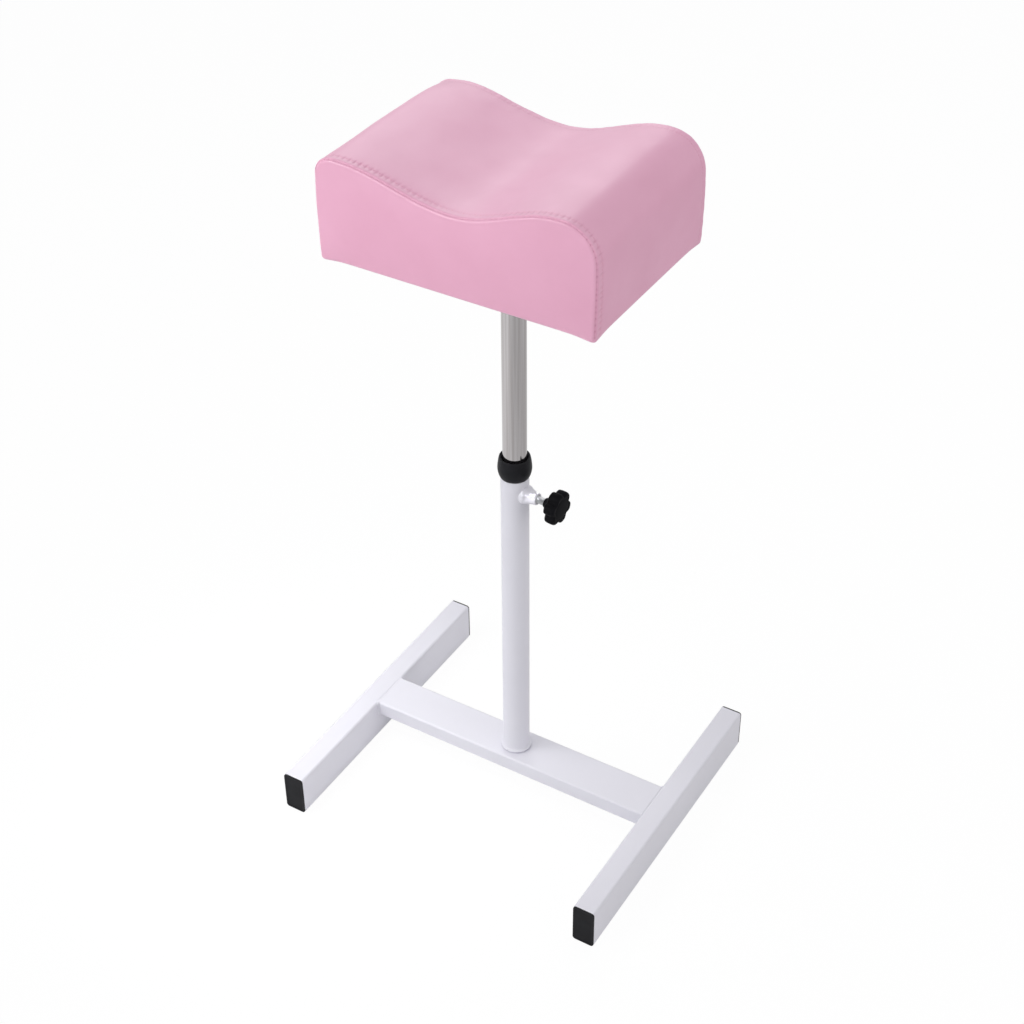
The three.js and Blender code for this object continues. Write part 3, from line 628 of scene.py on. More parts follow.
def weld_path():
    """Closely spaced places round the crossbar's end, in millimetres."""
    low, high = corners("crossbar")
    middle, half = (low + high) / 2, (high - low) / 2
    path = []
    for corner, (across, up) in enumerate(((1, 1), (-1, 1), (-1, -1), (1, -1))):
        y = across * (half.y - WELD_CORNER)
        z = middle.z + up * (half.z - WELD_CORNER)
        for share in shares(8):
            angle = QUARTER_TURN * (corner + share)
            path.append((y + WELD_CORNER * math.cos(angle), z + WELD_CORNER * math.sin(angle)))
    places = []
    for start, end in zip(path, path[1:] + path[:1]):
        count = max(1, round(math.dist(start, end) / WELD_STEP))
        places += [between(start, end, share) for share in shares(count)[:-1]]
    return places


def make_weld_bead(name, sign):
    """The bead round the crossbar's end: full on the faces and below, ground back on top."""
    high = corners("crossbar")[1]
    places = weld_path()
    curve = bpy.data.curves.new(name, "CURVE")
    curve.dimensions = "3D"
    curve.bevel_depth = WELD_RADIUS * MM
    curve.bevel_resolution = 3
    spline = curve.splines.new("POLY")
    spline.points.add(len(places) - 1)
    spline.use_cyclic_u = True
    for i, (knot, (y, z)) in enumerate(zip(spline.points, places)):
        ripple = math.sin(i * FULL_TURN / 3.1) + noise.noise(Vector((i * 0.37, sign, 0)))
        ground, sink = (WELD_GROUND_SHARE, WELD_SINK) if z > high.z - 1 else (1, 0)
        on_round = abs(y) >= high.y - 1
        knot.co = (sign * (high.x + 0.1) * MM, y * MM, (z - sink) * MM, 1)
        knot.radius = (1 + WELD_RIPPLE_SHARE * ripple) * ground * (1 if on_round else 0.85)
    select_only(linked(name, curve))
    bpy.ops.object.convert(target="MESH")
    bead = named(bpy.context.object, name)
    pick_all(bead)
    merge_and_turn_out()
    return smooth(bead, 80)


def make_cap(name, rail, into):
    """End cap of a rail: a flange with a soft rim and a shallow panel, and a hollow barbed insert. It goes
    into the rail along +Y (1) or -Y (-1)."""
    low, high = corners(rail)
    middle = (low + high) / 2 * MM
    seat = -into * high.y
    face = seat - into * CAP_FLANGE
    cap = block(name, (low.x, min(face, seat), low.z), (high.x, max(face, seat), high.z))
    round_along(cap, 1, CAP_CORNER, 6)
    pick(cap, "FACE", lambda place, normal: normal.y * into > 0.9)
    bpy.ops.mesh.inset(thickness=INSERT_GAP * MM)
    for depth, barb in INSERT_STEPS:
        pull(into * depth)
        if barb:
            growth = (1 + barb / INSERT_HALF[0], 1, 1 + barb / INSERT_HALF[1])
            bpy.ops.transform.resize(value=growth, center_override=(middle.x, 0, middle.z))
    bpy.ops.mesh.inset(thickness=INSERT_WALL * MM)
    pull(into * (CAP_FLOOR - sum(depth for depth, _ in INSERT_STEPS)))
    pick(cap, "FACE", lambda place, normal: normal.y * into < -0.9 and abs(place.y - face * MM) < TOUCHING)
    bpy.ops.mesh.inset(thickness=CAP_RIM * MM)
    bpy.ops.mesh.inset(thickness=CAP_PANEL_EDGE * MM, depth=-CAP_PANEL_SINK * MM)
    leave_edit()
    soften(cap, CAP_SOFTNESS, 40, 3)
    return smooth(cap, 40, weighted=True)


# Post and clamp

def lay_on_clamp(obj):
    """Lays a piece that was turned about Z along the clamp's own axis."""
    obj.matrix_world = (
        Matrix.Translation((0, 0, CLAMP_HEIGHT * MM))
        @ Matrix.Rotation(CLAMP_TURN, 4, "Z")
        @ Matrix.Rotation(QUARTER_TURN, 4, "Y"))
    return settle(obj)


def drill_for_pad(obj, middle, depth):
    """The hole in one wall that the clamp's pressure pad passes through."""
    drill(obj, (middle, 0, CLAMP_HEIGHT), PAD_HOLE, depth, (0, QUARTER_TURN, CLAMP_TURN))


def make_post():
    """Post with its flared foot; the foot's edge is drawn in a little where it meets the crossbar."""
    low, high = (corner.z for corner in corners("post"))
    top = high - low
    foot = rounded([(15.2, 0), (15.2, 1.5), (17.0, 1.6), (17.5, 1.9), (17.4, 3.1), (15.8, 4.3),
                    (15.1, 7), (15, 11)])
    post = turned("post_tube", [(POST_BORE, 0), *foot, (POST_RADIUS, top - 0.4), (POST_RADIUS - 0.4, top),
                                (POST_BORE, top), (POST_BORE, 0)], base=low)
    drill_for_pad(post, 16, 12)
    return smooth(post, 40)


def make_collar():
    """Barrel collar, cupped inside its rim; its sleeve reaches down inside the post."""
    seat = corners("post")[1].z
    sleeve = corners("collar")[0].z - seat
    barrel = rounded([(14.85, 0), (15.4, 0.2), (17.1, 4.2), (18.0, 9), (18.0, 13), (17.3, 19), (16.5, 23.3),
                      (16.0, 24.6), (15.3, 24.9), (14.3, 23.9), (13.2, 22.6)])
    collar = turned("collar_barrel", [(12.9, sleeve), (13.7, sleeve), (13.7, 0), *barrel, (12.9, 22.2),
                                      (12.9, sleeve)], base=seat)
    drill_for_pad(collar, 14, 8)
    return smooth(collar, 45)


def make_boss():
    """Boss on the post: a soft weld root, a tapering neck and a rounded end round the screw."""
    neck = rounded([(10.4, BOSS_START), (10.4, 15.2), (9.8, 16.4), (8.6, 18.6), (7.6, 21.5), (6.8, 25.5),
                    (6.5, 28.3), (5.9, 29.4), (4.4, 29.4)])
    boss = turned("clamp_boss_neck", [
        (BOSS_BORE, BOSS_START), *neck, (BOSS_BORE, 29.2), (BOSS_BORE, BOSS_START)], 72)
    lay_on_clamp(boss)
    drill(boss, (0, 0, CLAMP_HEIGHT), POST_RADIUS + 0.03, 40, sides=96)
    return smooth(boss, 45)


def make_clamp_screw():
    """M8 screw with a helical thread, a tip bored for the pad and a hexagon head moulded into the knob."""
    thread = STUD_THREAD_END - STUD_THREAD_START
    steps = round(thread / (STUD_PITCH / 4))
    flank = [(3.95, STUD_THREAD_START + thread * share) for share in shares(steps)]
    screw = turned("clamp_screw_stud", [
        (0, STUD_START + 4), (2, STUD_START + 4), (2, STUD_START), (3, STUD_START), *flank, (3.9, STUD_HEAD),
        (6.2, STUD_HEAD), (6.5, STUD_HEAD + 0.4), (6.5, STUD_HEAD + 4.6), (6.2, STUD_HEAD + 5),
        (0, STUD_HEAD + 5)], 48)

    def cut(point):
        radius, height, angle = about_z(point)
        if radius > 3.7 and STUD_THREAD_START - 0.3 < height < STUD_THREAD_END + 0.2:
            return threaded(point, STUD_PITCH, STUD_THREAD_DEPTH)
        if radius > 5 and height > STUD_HEAD - 0.1:
            sixth = math.pi / 6
            sector = (angle + sixth) % (2 * sixth) - sixth
            return drawn_in(point, math.cos(sixth) / max(math.cos(sector), 0.5))
        return point

    reshape(screw, cut)
    return smooth(lay_on_clamp(screw), 40)


def make_knob():
    """Star knob: a flared hub, six soft lobes, a recessed ring and a low crown on its face."""
    outside = rounded([
        (4.6, 38), (5.1, 38.2), (5.6, 39.4), (6.3, 41.4), (7.5, 43.4), (9.6, 45.2), (12.4, 46.1),
        (16.6, 46.5), (18.0, 47.4), (18.5, 49.4), (18.6, 55.4), (18.0, 57.4), (16.4, 58.5), (14.0, 58.85),
        (12.6, 58.5), (11.4, 58.5), (9.5, 58.8), (4, 59.0), (1.5, 59)], 1)
    knob = turned("clamp_knob_star", [(0, 52.3), (6.8, 52.3), (6.8, 46.7), (4.3, 46.7), (4.3, 38.4), *outside,
                                      (0, 59)], 144)

    def flute(point):
        radius, height, angle = about_z(point)
        if radius < LOBE_START or height < KNOB_HUB_END:
            return point
        wave = (1 - math.cos(KNOB_LOBES * (angle - LOBE_PHASE))) / 2
        outward = limit((radius - LOBE_START) / LOBE_REACH)
        return drawn_in(point, 1 - LOBE_DEPTH_SHARE * outward * outward * (3 - 2 * outward) * wave ** 2)

    reshape(knob, flute)
    return smooth(lay_on_clamp(knob), 50)


# Mast and plate

def make_mast():
    low, high = (corner.z for corner in corners("mast"))
    top = high - low
    mast = turned("mast_tube", [
        (MAST_BORE, MAST_EDGE), (MAST_BORE + MAST_EDGE, 0), (MAST_RADIUS - MAST_EDGE, 0),
        (MAST_RADIUS, MAST_EDGE), (MAST_RADIUS, top), (MAST_BORE, top), (MAST_BORE, MAST_EDGE)], 128, low)
    return smooth(mast, 40)


def make_mast_weld():
    """Fillet weld between the mast and its plate, with the ripples of the torch."""
    root = MAST_RADIUS + 0.02
    fillet = rounded([(root, -3.4), (MAST_RADIUS + 0.9, -2.9), (MAST_RADIUS + 1.7, -1.5),
                      (MAST_RADIUS + 3.3, -0.7), (MAST_RADIUS + 3.6, -0.02)])
    weld = turned("mast_weld", [*fillet, (root, -0.02), fillet[0]], 180, corners("mast")[1].z)

    def ripple(point):
        radius, _, angle = about_z(point)
        out = min(max(radius - MAST_RADIUS - 0.3, 0), 1.5)
        slow = noise.noise(Vector((math.cos(angle), math.sin(angle), 0)) * 3)
        return drawn_in(point, 1 + (0.12 * math.sin(angle * WELD_WAVES) + 0.15 * slow) * out / radius)

    reshape(weld, ripple)
    return smooth(weld, 60)


def make_plate():
    low, high = corners("mounting_plate")
    plate = block("mast_plate", low, high)
    round_along(plate, 2, PLATE_CORNER, 8)
    leave_edit()
    for x, y in SCREW_PLACES:
        drill(plate, (x, y, (low.z + high.z) / 2), PLATE_HOLE, 8)
    soften(plate, 0.4, 50)
    return smooth(plate, 40, weighted=True)


def make_plate_screw():
    """Button-head screw for a hexagon key, standing at the origin with its seat at Z 0."""
    dome = rounded([(5.4, 0), (5.5, -0.9), (4.8, -2.6), (3.4, -3.55), (2.6, -SCREW_HEAD), (0, -SCREW_HEAD)])
    flank = [(SCREW_RADIUS, 0.3 + 15 * share) for share in shares(60)]
    screw = turned("plate_screw", [(0, SCREW_LENGTH), (2.4, SCREW_LENGTH), (SCREW_RADIUS, SCREW_LENGTH - 0.6),
                                   *flank[::-1], (SCREW_RADIUS, 0), *dome], 40)
    drill(screw, (0, 0, -SCREW_HEAD), KEY_RADIUS, 4, sides=6)

    def cut(point):
        radius, height, _ = about_z(point)
        on_thread = 2.8 < radius < 3 and 1 < height < SCREW_LENGTH - 0.7
        return threaded(point, 1, SCREW_THREAD_DEPTH) if on_thread else point

    reshape(screw, cut)
    return smooth(screw, 40)


# Cushion

def arc(x, z, radius, start, end):
    """Points on a round in the XZ plane between two angles in degrees."""
    angles = [math.radians(start + (end - start) * share) for share in shares(24)]
    return [(x + radius * math.cos(angle), z + radius * math.sin(angle)) for angle in angles]


def outline_curves():
    """The cushion's outline as top, right, bottom and left curves that meet in the middle of its corners.
    The foam is cut by eye: its left hump is lower and squarer than its right one."""
    half = CUSHION_WIDTH / 2
    valley = CUSHION_UNDERSIDE + VALLEY_HEIGHT
    foot_x, foot_z = half - BOTTOM_RADIUS, CUSHION_UNDERSIDE + BOTTOM_RADIUS
    halves = []
    for side, (place, height, radius) in ((-1, LEFT_HUMP), (1, RIGHT_HUMP)):
        rise = CUSHION_UNDERSIDE + height - valley
        slope = [(place * t, valley + rise * (1 - math.cos(math.pi * t)) / 2) for t in shares(60)]
        shoulder = half - radius, CUSHION_UNDERSIDE + height - radius, radius
        crest = slope + arc(*shoulder, 90, 45)
        upright = arc(*shoulder, 45, 0) + arc(foot_x, foot_z, BOTTOM_RADIUS, 0, -45)
        halves.append([[(side * x, z) for x, z in part] for part in (crest, upright)])
    (left_crest, left), (right_crest, right) = halves
    base = arc(-foot_x, foot_z, BOTTOM_RADIUS, 225, 270) + arc(foot_x, foot_z, BOTTOM_RADIUS, 270, 315)
    return left_crest[::-1] + right_crest[1:], right, base, left


def running_lengths(curve):
    lengths = [0.0]
    for a, b in zip(curve, curve[1:]):
        lengths.append(lengths[-1] + math.dist(a, b))
    return lengths


def spread(curve, count, press):
    """Points along a curve with their shares, closer together towards both ends."""
    lengths = running_lengths(curve)
    pressed = [share - press * math.sin(FULL_TURN * share) / FULL_TURN for share in shares(count)]
    points, k = [], 0
    for share in pressed:
        aim = share * lengths[-1]
        while k + 2 < len(lengths) and lengths[k + 1] < aim:
            k += 1
        step = lengths[k + 1] - lengths[k]
        way = limit((aim - lengths[k]) / step if step else 0)
        points.append(between(curve[k], curve[k + 1], way))
    return points, pressed


def edge_line():
    """The outline from the lower left corner over the top to the lower right one, with lengths along it."""
    crest, right, _, left = outline_curves()
    line, _ = spread(left[::-1] + crest + right, 1400, 0)
    return line, running_lengths(line)


def search_tree(points):
    tree = kdtree.KDTree(len(points))
    for number, point in enumerate(points):
        tree.insert(point, number)
    tree.balance()
    return tree


class EdgePlace:
    """A place on the cushion's outline, and the points of its rounded edge, strip and panel there."""

    def __init__(self, x, z):
        hump_place, height, _ = LEFT_HUMP if x < 0 else RIGHT_HUMP
        self.rise = (z - CUSHION_UNDERSIDE) / height
        above_hump = abs(x) < hump_place
        bow = 0 if above_hump else SIDE_BOW * math.sin(math.pi * self.rise)
        if above_hump and self.rise > 0.5:
            self.rise = 1
        self.x, self.z = x + math.copysign(bow, x), z
        self.radius = EDGE_RADIUS + (BOTTOM_EDGE_RADIUS - EDGE_RADIUS) * max(1 - self.rise / 0.06, 0)

    def inside(self, inset, depth):
        """The point this far in from the outline, at a depth from the front."""
        return Vector((self.x * (1 - inset / (CUSHION_WIDTH / 2)), depth - CUSHION_DEPTH / 2,
                       self.z - inset * (2 * self.rise - 1)))

    def on_round(self, angle):
        return self.inside(self.radius * (1 - math.cos(angle)), self.radius * (1 - math.sin(angle)))

    def on_strip(self, station):
        """The point a station's distance behind the seam; the last station is halfway to the other seam."""
        round_part = self.radius * SEAM_ANGLE
        reach = CUSHION_DEPTH / 2 - self.radius + round_part
        along = station / STRIP_STATIONS[-1] * reach
        if along < round_part:
            return self.on_round(SEAM_ANGLE - along / self.radius)
        flat = along - round_part
        sink = START_SMALLER * math.sin(QUARTER_TURN * flat / (reach - round_part)) * min(self.rise * 8, 1)
        return self.inside(sink, self.radius + flat)

    def on_panel(self, distance):
        """The point this many millimetres from the seam, round the edge and onto the panel."""
        angle = SEAM_ANGLE + distance * MM / self.radius
        if angle < QUARTER_TURN:
            return self.on_round(angle)
        return self.inside(self.radius * (1 + angle - QUARTER_TURN), 0)


def fill_panel(points, start, count, across, upright):
    """Adds a grid of points inside a panel's ring of points and returns its faces, seen from the front."""
    index = {}
    for i in range(ACROSS_STEPS + 1):
        index[i, 0] = start + i
        index[i, UPRIGHT_STEPS] = start + ACROSS_STEPS + UPRIGHT_STEPS + (ACROSS_STEPS - i)
    for k in range(UPRIGHT_STEPS + 1):
        index[0, k] = start + (2 * (ACROSS_STEPS + UPRIGHT_STEPS) - k) % count
        index[ACROSS_STEPS, k] = start + ACROSS_STEPS + k

    def at(i, k):
        return points[index[i, k]]

    inner = [(i, k) for i in range(1, ACROSS_STEPS) for k in range(1, UPRIGHT_STEPS)]
    for i, k in inner:
        u, v = across[i], upright[k]
        place = at(i, 0) * (1 - v) + at(i, UPRIGHT_STEPS) * v + at(0, k) * (1 - u) + at(ACROSS_STEPS, k) * u
        place -= at(0, 0) * (1 - u) * (1 - v) + at(ACROSS_STEPS, 0) * u * (1 - v)
        place -= at(0, UPRIGHT_STEPS) * (1 - u) * v + at(ACROSS_STEPS, UPRIGHT_STEPS) * u * v
        index[i, k] = len(points)
        points.append(Vector((place.x, points[start].y, place.z)))
    for _ in range(EVENING_ROUNDS):
        for i, k in inner:
            points[index[i, k]] = (at(i - 1, k) + at(i + 1, k) + at(i, k - 1) + at(i, k + 1)) / 4
    return [(index[i, k], index[i, k + 1], index[i + 1, k + 1], index[i + 1, k])
            for i in range(ACROSS_STEPS) for k in range(UPRIGHT_STEPS)]


def crown_panels(points, ring, kept):
    """Crowns the panels outside the kept points, from the seam's ring inwards."""
    seam = search_tree([(point.x, 0, point.z) for point in ring])
    for i, point in enumerate(points):
        if i not in kept:
            distance = seam.find((point.x, 0, point.z))[2]
            point.y += math.copysign(PANEL_CROWN * (1 - math.exp(-distance / CROWN_FALL)), point.y)


def build_cushion_skin():
    """The closed skin as sewn, its faces marked as front panel, strip or back panel, and the points of its
    seams and underside."""
    crest, right, base, left = outline_curves()
    crest, across = spread(crest, ACROSS_STEPS, ACROSS_PRESS)
    base, _ = spread(base, ACROSS_STEPS, ACROSS_PRESS)
    right, upright = spread(right, UPRIGHT_STEPS, UPRIGHT_PRESS)
    left, _ = spread(left, UPRIGHT_STEPS, UPRIGHT_PRESS)
    outline = crest + right[1:] + base[::-1][1:] + left[::-1][1:-1]
    count = len(outline)
    places = [EdgePlace(*place) for place in outline]
    front_rings = [[place.on_panel(distance) for place in places] for distance in PANEL_RINGS]
    front_rings += [[place.on_strip(station) for place in places] for station in STRIP_STATIONS]
    to_back = Matrix.Scale(-1, 4, (0, 1, 0))
    rings = front_rings + [[to_back @ point for point in ring] for ring in front_rings[-2::-1]]
    last = len(rings) - 1
    front_seam, back_seam = len(PANEL_RINGS), last - len(PANEL_RINGS)
    points = [point for ring in rings for point in ring]
    faces, parts = [], []
    for j in range(last):
        for r in range(count):
            ahead = (r + 1) % count
            faces.append((j * count + r, j * count + ahead, (j + 1) * count + ahead, (j + 1) * count + r))
            parts.append(FRONT if j < front_seam else BACK if j >= back_seam else STRIP)
    for part, start in ((FRONT, 0), (BACK, last * count)):
        grid = fill_panel(points, start, count, across, upright)
        faces += grid if part == FRONT else [face[::-1] for face in grid]
        parts += [part] * len(grid)
    crown_panels(points, rings[front_seam], range(front_seam * count, (back_seam + 1) * count))
    skin = from_points("cushion_skin", points, faces)
    skin.data.polygons.foreach_set("material_index", parts)
    sewn = {ring * count + i for ring in (front_seam, back_seam) for i in range(count)}
    sewn |= {i for i, point in enumerate(points) if point.z < CUSHION_UNDERSIDE + HELD_BELOW}
    return skin, sewn


def puff_up(skin, sewn):
    """Lets the foam's pressure fill the cover between its seams, evens out its folds and keeps that shape."""
    skin.vertex_groups.new(name="sewn").add(sorted(sewn), 1.0, "REPLACE")
    start = [point.co.copy() for point in skin.data.vertices]
    cloth = skin.modifiers.new("puff", "CLOTH")
    for setting, value in {
            "quality": 6, "tension_stiffness": 40, "compression_stiffness": 40, "shear_stiffness": 15,
            "bending_stiffness": 2, "use_pressure": True, "uniform_pressure_force": 4,
            "vertex_group_mass": "sewn"}.items():
        setattr(cloth.settings, setting, value)
    cloth.settings.effector_weights.gravity = 0
    cloth.collision_settings.use_collision = False
    cloth.point_cache.frame_start = 1
    cloth.point_cache.frame_end = PUFF_FRAMES
    for frame_number in range(1, PUFF_FRAMES + 1):
        bpy.context.scene.frame_set(frame_number)
    swollen = skin.evaluated_get(bpy.context.evaluated_depsgraph_get()).data.vertices
    moves = [end.co - begin for begin, end in zip(start, swollen)]
    near = [[] for _ in start]
    for edge in skin.data.edges:
        a, b = edge.vertices
        near[a].append(b)
        near[b].append(a)
    for _ in range(EVENING_ROUNDS):
        means = [sum((moves[j] for j in around), Vector()) / len(around) for around in near]
        moves = [move if i in sewn else move * (1 - EVENING) + mean * EVENING
                 for i, (move, mean) in enumerate(zip(moves, means))]
    share = min(1, MOST_SWELLING / max(move.length for move in moves))
    skin.modifiers.remove(cloth)
    bpy.context.scene.frame_set(1)
    for point, begin, move in zip(skin.data.vertices, start, moves):
        point.co = begin + move * share
    skin.data.update()


def ease_left_shoulder(point):
    """Fills out the left shoulder in its middle and softens it at the back."""
    beyond, behind = point.x - SHOULDER_X, point.y - SHOULDER_BACK_Y
    seam_roughness = WEAR_DEPTH * hill(math.hypot(beyond, behind), WEAR_WIDTH)
    full = FILL_HEIGHT * hill(beyond, FILL_WIDTH) * max(1 - (point.y / FILL_REACH) ** 2, 0)
    upper = limit((point.z - CUSHION_UNDERSIDE - SHOULDER_START) / SHOULDER_RISE)
    return point + Vector((0, 0, (full - seam_roughness) * upper))


def sewing(place, distance, length, on_strip):
    """How far a seam moves a point of the cover at this distance, and how deep the painted shade is there: in
    the seam's groove, its needle holes, the stitch row and the puckers. The needle holes follow the length
    along the edge, and only the strip has the second row of stitches."""
    hole = max(math.cos(FULL_TURN * length / STITCH_PITCH), 0) ** 2
    upright = limit((abs(place.x) - SIDE_START) / SIDE_RISE)
    groove = hill(distance, GROOVE_WIDTH)
    gather = noise.noise(Vector((length * 130, place.y * 25, 0.0)))
    move = RIDGE_HEIGHT * hill(distance - RIDGE_PLACE, RIDGE_WIDTH)
    move -= (GROOVE_DEPTH + HOLE_DEPTH * hole) * groove
    move += GATHER_DEPTH * gather * hill(distance, GATHER_WIDTH)
    # Painted shade in the seam's groove and its needle holes.
    groove_shade = blend(GROOVE_SHADE, SIDE_GROOVE_SHADE, upright)
    tone = groove * (groove_shade + blend(HOLE_SHADE, SIDE_HOLE_SHADE, upright) * hole)
    if on_strip:
        row = hill(distance - STITCH_ROW, ROW_WIDTH)
        in_valley = hill(place.x - VALLEY_X, VALLEY_WIDTH)
        pucker = hole * hill(distance - PUCKER_PLACE, PUCKER_WIDTH)
        pucker *= 0.75 + 0.5 * noise.noise(Vector((length * 24, 5.0, place.y * 9)))
        pucker *= 1 - VALLEY_PUCKER_LOSS * in_valley
        pucker *= BACK_PUCKER_SHARE if place.y > 0 else 1
        move -= ROW_DEPTH * row + PUCKER_DEPTH * pucker
        # Painted shade in the stitch row and the puckers.
        tone += ROW_SHADE * row + PUCKER_SHADE * pucker
    return move, tone


def dress_seams(skin):
    """Sews the skin in code: sunk seams, soft ridges, needle holes, puckers and slow undulations, with
    painted shade for the cover's colour along them. Below, the corners droop a little."""
    line, lengths = edge_line()
    along = search_tree([(x, 0, z) for x, z in line])
    mesh = bmesh.new()
    mesh.from_mesh(skin.data)
    mesh.normal_update()
    seam_edges = [edge.verts for edge in mesh.edges
                  if len({face.material_index for face in edge.link_faces}) > 1]
    seam = search_tree([start.co.lerp(end.co, share)
                        for start, end in seam_edges for share in shares(SEAM_SPLITS)[:-1]])
    painted_seam_shade = mesh.verts.layers.float.new("painted_seam_shade")
    moves = []
    for point in mesh.verts:
        place = point.co
        height = place.z - CUSHION_UNDERSIDE
        distance = seam.find(place)[2]
        move = WAVE_HEIGHT * noise.noise(place * WAVE_SCALE)
        move += RIPPLE_HEIGHT * noise.noise(place * RIPPLE_SCALE + Vector((7, 3, 1)))
        move *= limit(height / WAVE_RISE)
        if distance <= SEAM_REACH:
            length = lengths[along.find((place.x, 0, place.z))[1]]
            on_strip = any(face.material_index == STRIP for face in point.link_faces)
            sewn, tone = sewing(place, distance, length, on_strip)
            raised = limit((height - SEAM_START) / SEAM_RISE)
            # Painted shade: how dark the seam makes the cover's colour is stored here for the leatherette.
            point[painted_seam_shade] = min(tone * raised, 1)
            move += sewn * raised
        moves.append(point.normal * move)
    for point, move in zip(mesh.verts, moves):
        corner = math.hypot(abs(point.co.x) - CUSHION_WIDTH / 2, abs(point.co.y) - CUSHION_DEPTH / 2)
        low = max(1 - (point.co.z - CUSHION_UNDERSIDE) / DROOP_HEIGHT, 0)
        droop = CORNER_DROOP * low * hill(corner, DROOP_WIDTH)
        point.co += move - Vector((0, 0, droop))
    mesh.to_mesh(skin.data)
    mesh.free()
    skin.data.update()


def cut_turn_under(skin):
    """Opens the mouth below and gives each panel its own flap."""
    mouth_x = CUSHION_WIDTH / 2 - TURN_UNDER
    mouth_y = CUSHION_DEPTH / 2 - TURN_UNDER
    flap_x = mouth_x - TURN_UNDER

    def below(place, normal):
        return normal.z < -0.6 and place.z < CUSHION_UNDERSIDE + FLAT_BELOW

    def in_mouth(place, normal):
        return below(place, normal) and abs(place.x) < mouth_x and abs(place.y) < mouth_y

    for way, distance in (((1, 0, 0), mouth_x), ((1, 0, 0), flap_x), ((0, 1, 0), mouth_y)):
        for sign in (1, -1):
            pick(skin, "FACE", below)
            place = Vector(way) * sign * distance
            bpy.ops.mesh.bisect(plane_co=place, plane_no=way, threshold=TOUCHING)
    pick(skin, "FACE", in_mouth)
    bpy.ops.mesh.delete(type="FACE")
    leave_edit()
    for face in skin.data.polygons:
        place = face.center
        if below(place, face.normal) and abs(place.x) < flap_x and abs(place.y) > mouth_y:
            face.material_index = FRONT if place.y < 0 else BACK


def split_off(skin, part, name):
    """Takes one sewn part off the skin as its own object."""
    select_only(skin)
    for kind in (skin.data.vertices, skin.data.edges):
        kind.foreach_set("select", [False] * len(kind))
    for face in skin.data.polygons:
        face.select = face.material_index == part
    bpy.ops.object.mode_set(mode="EDIT")
    bpy.ops.mesh.select_mode(type="FACE")
    bpy.ops.mesh.separate(type="SELECTED")
    leave_edit()
    return named(next(obj for obj in bpy.context.selected_objects if obj != skin), name)


def forget_parts(piece):
    """Clears what marked the sewn parts."""
    piece.vertex_groups.clear()
    for face in piece.data.polygons:
        face.material_index = 0


def finish_cover(piece):
    forget_parts(piece)
    apply_modifier(piece, "SOLIDIFY", thickness=COVER_THICKNESS, offset=-1)
    return smooth(piece, 60)


def make_foam_core(skin):
    """The foam under the cover, cut flat where it is glued to the board."""
    core = copy_to(skin, "foam_block", Matrix.Identity(4))
    forget_parts(core)
    pick_all(core)
    bpy.ops.transform.shrink_fatten(value=-(COVER_THICKNESS + FOAM_GAP))
    board = (0, 0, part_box("foam_core")[0].z)
    bpy.ops.mesh.bisect(plane_co=board, plane_no=(0, 0, 1), clear_inner=True, use_fill=True)
    leave_edit()
    return smooth(core, 50)


def make_cushion():
    """The foam and the cover's three parts, and the cover's surface for the stitches."""
    skin, sewn = build_cushion_skin()
    puff_up(skin, sewn)
    reshape(skin, ease_left_shoulder)
    foam = make_foam_core(skin)
    apply_modifier(skin, "SUBSURF", levels=2, render_levels=2)
    dress_seams(skin)
    surface = BVHTree.FromObject(skin, bpy.context.evaluated_depsgraph_get())
    cut_turn_under(skin)
    front = finish_cover(split_off(skin, FRONT, "cushion_front_panel"))
    back = finish_cover(split_off(skin, BACK, "cushion_back_panel"))
    strip = finish_cover(named(skin, "cushion_strip"))
    return foam, front, back, strip, surface


def make_stitch():
    """One stitch of thread: a thin arch whose ends dip into their needle holes."""
    select_only(None)
    bpy.ops.mesh.primitive_uv_sphere_add(segments=8, ring_count=6, radius=0.5)
    stitch = bpy.context.object
    pick_all(stitch)
    bpy.ops.transform.resize(value=(STITCH_LENGTH, THREAD_WIDTH, THREAD_HEIGHT))
    leave_edit()
    reshape(stitch, lambda point: point - Vector((0, 0, STITCH_DIP * (2 * point.x / STITCH_LENGTH) ** 2)))
    return stitch


def sew_row(name, side, surface, stitch, back, size):
    """A row of stitches laid on the cover, this far behind one panel's face; size scales the thread."""
    line, lengths = edge_line()
    body = [point.co * size for point in stitch.data.vertices]
    shape = [tuple(face.vertices) for face in stitch.data.polygons]
    mirrored = Vector((1, -side, 1))
    points, faces = [], []
    k = 0
    for number in range(1, int(lengths[-1] / STITCH_PITCH)):
        while lengths[k + 1] < (number + 0.5) * STITCH_PITCH:
            k += 1
        if line[k][1] < CUSHION_UNDERSIDE + LOWEST_STITCH:
            continue
        tangent = Vector((line[k + 1][0] - line[k][0], 0, line[k + 1][1] - line[k][1])).normalized()
        look = Vector((-tangent.z, 0, tangent.x))
        if back < MM:
            look = look * math.cos(SEAM_ANGLE) - Vector((0, math.sin(SEAM_ANGLE), 0))
        look *= mirrored
        target = EdgePlace(*line[k]).on_strip(back / MM) * mirrored
        hit, normal, _, _ = surface.ray_cast(target + look * LOOK_FROM, -look)
        if hit is None:
            continue
        across = normal.cross(tangent).normalized()
        turn = Matrix((across.cross(normal), across, normal)).transposed()
        faces += [tuple(len(points) + corner for corner in face) for face in shape]
        points += [hit + turn @ point for point in body]
    return smooth(from_points(name, points, faces), 80)


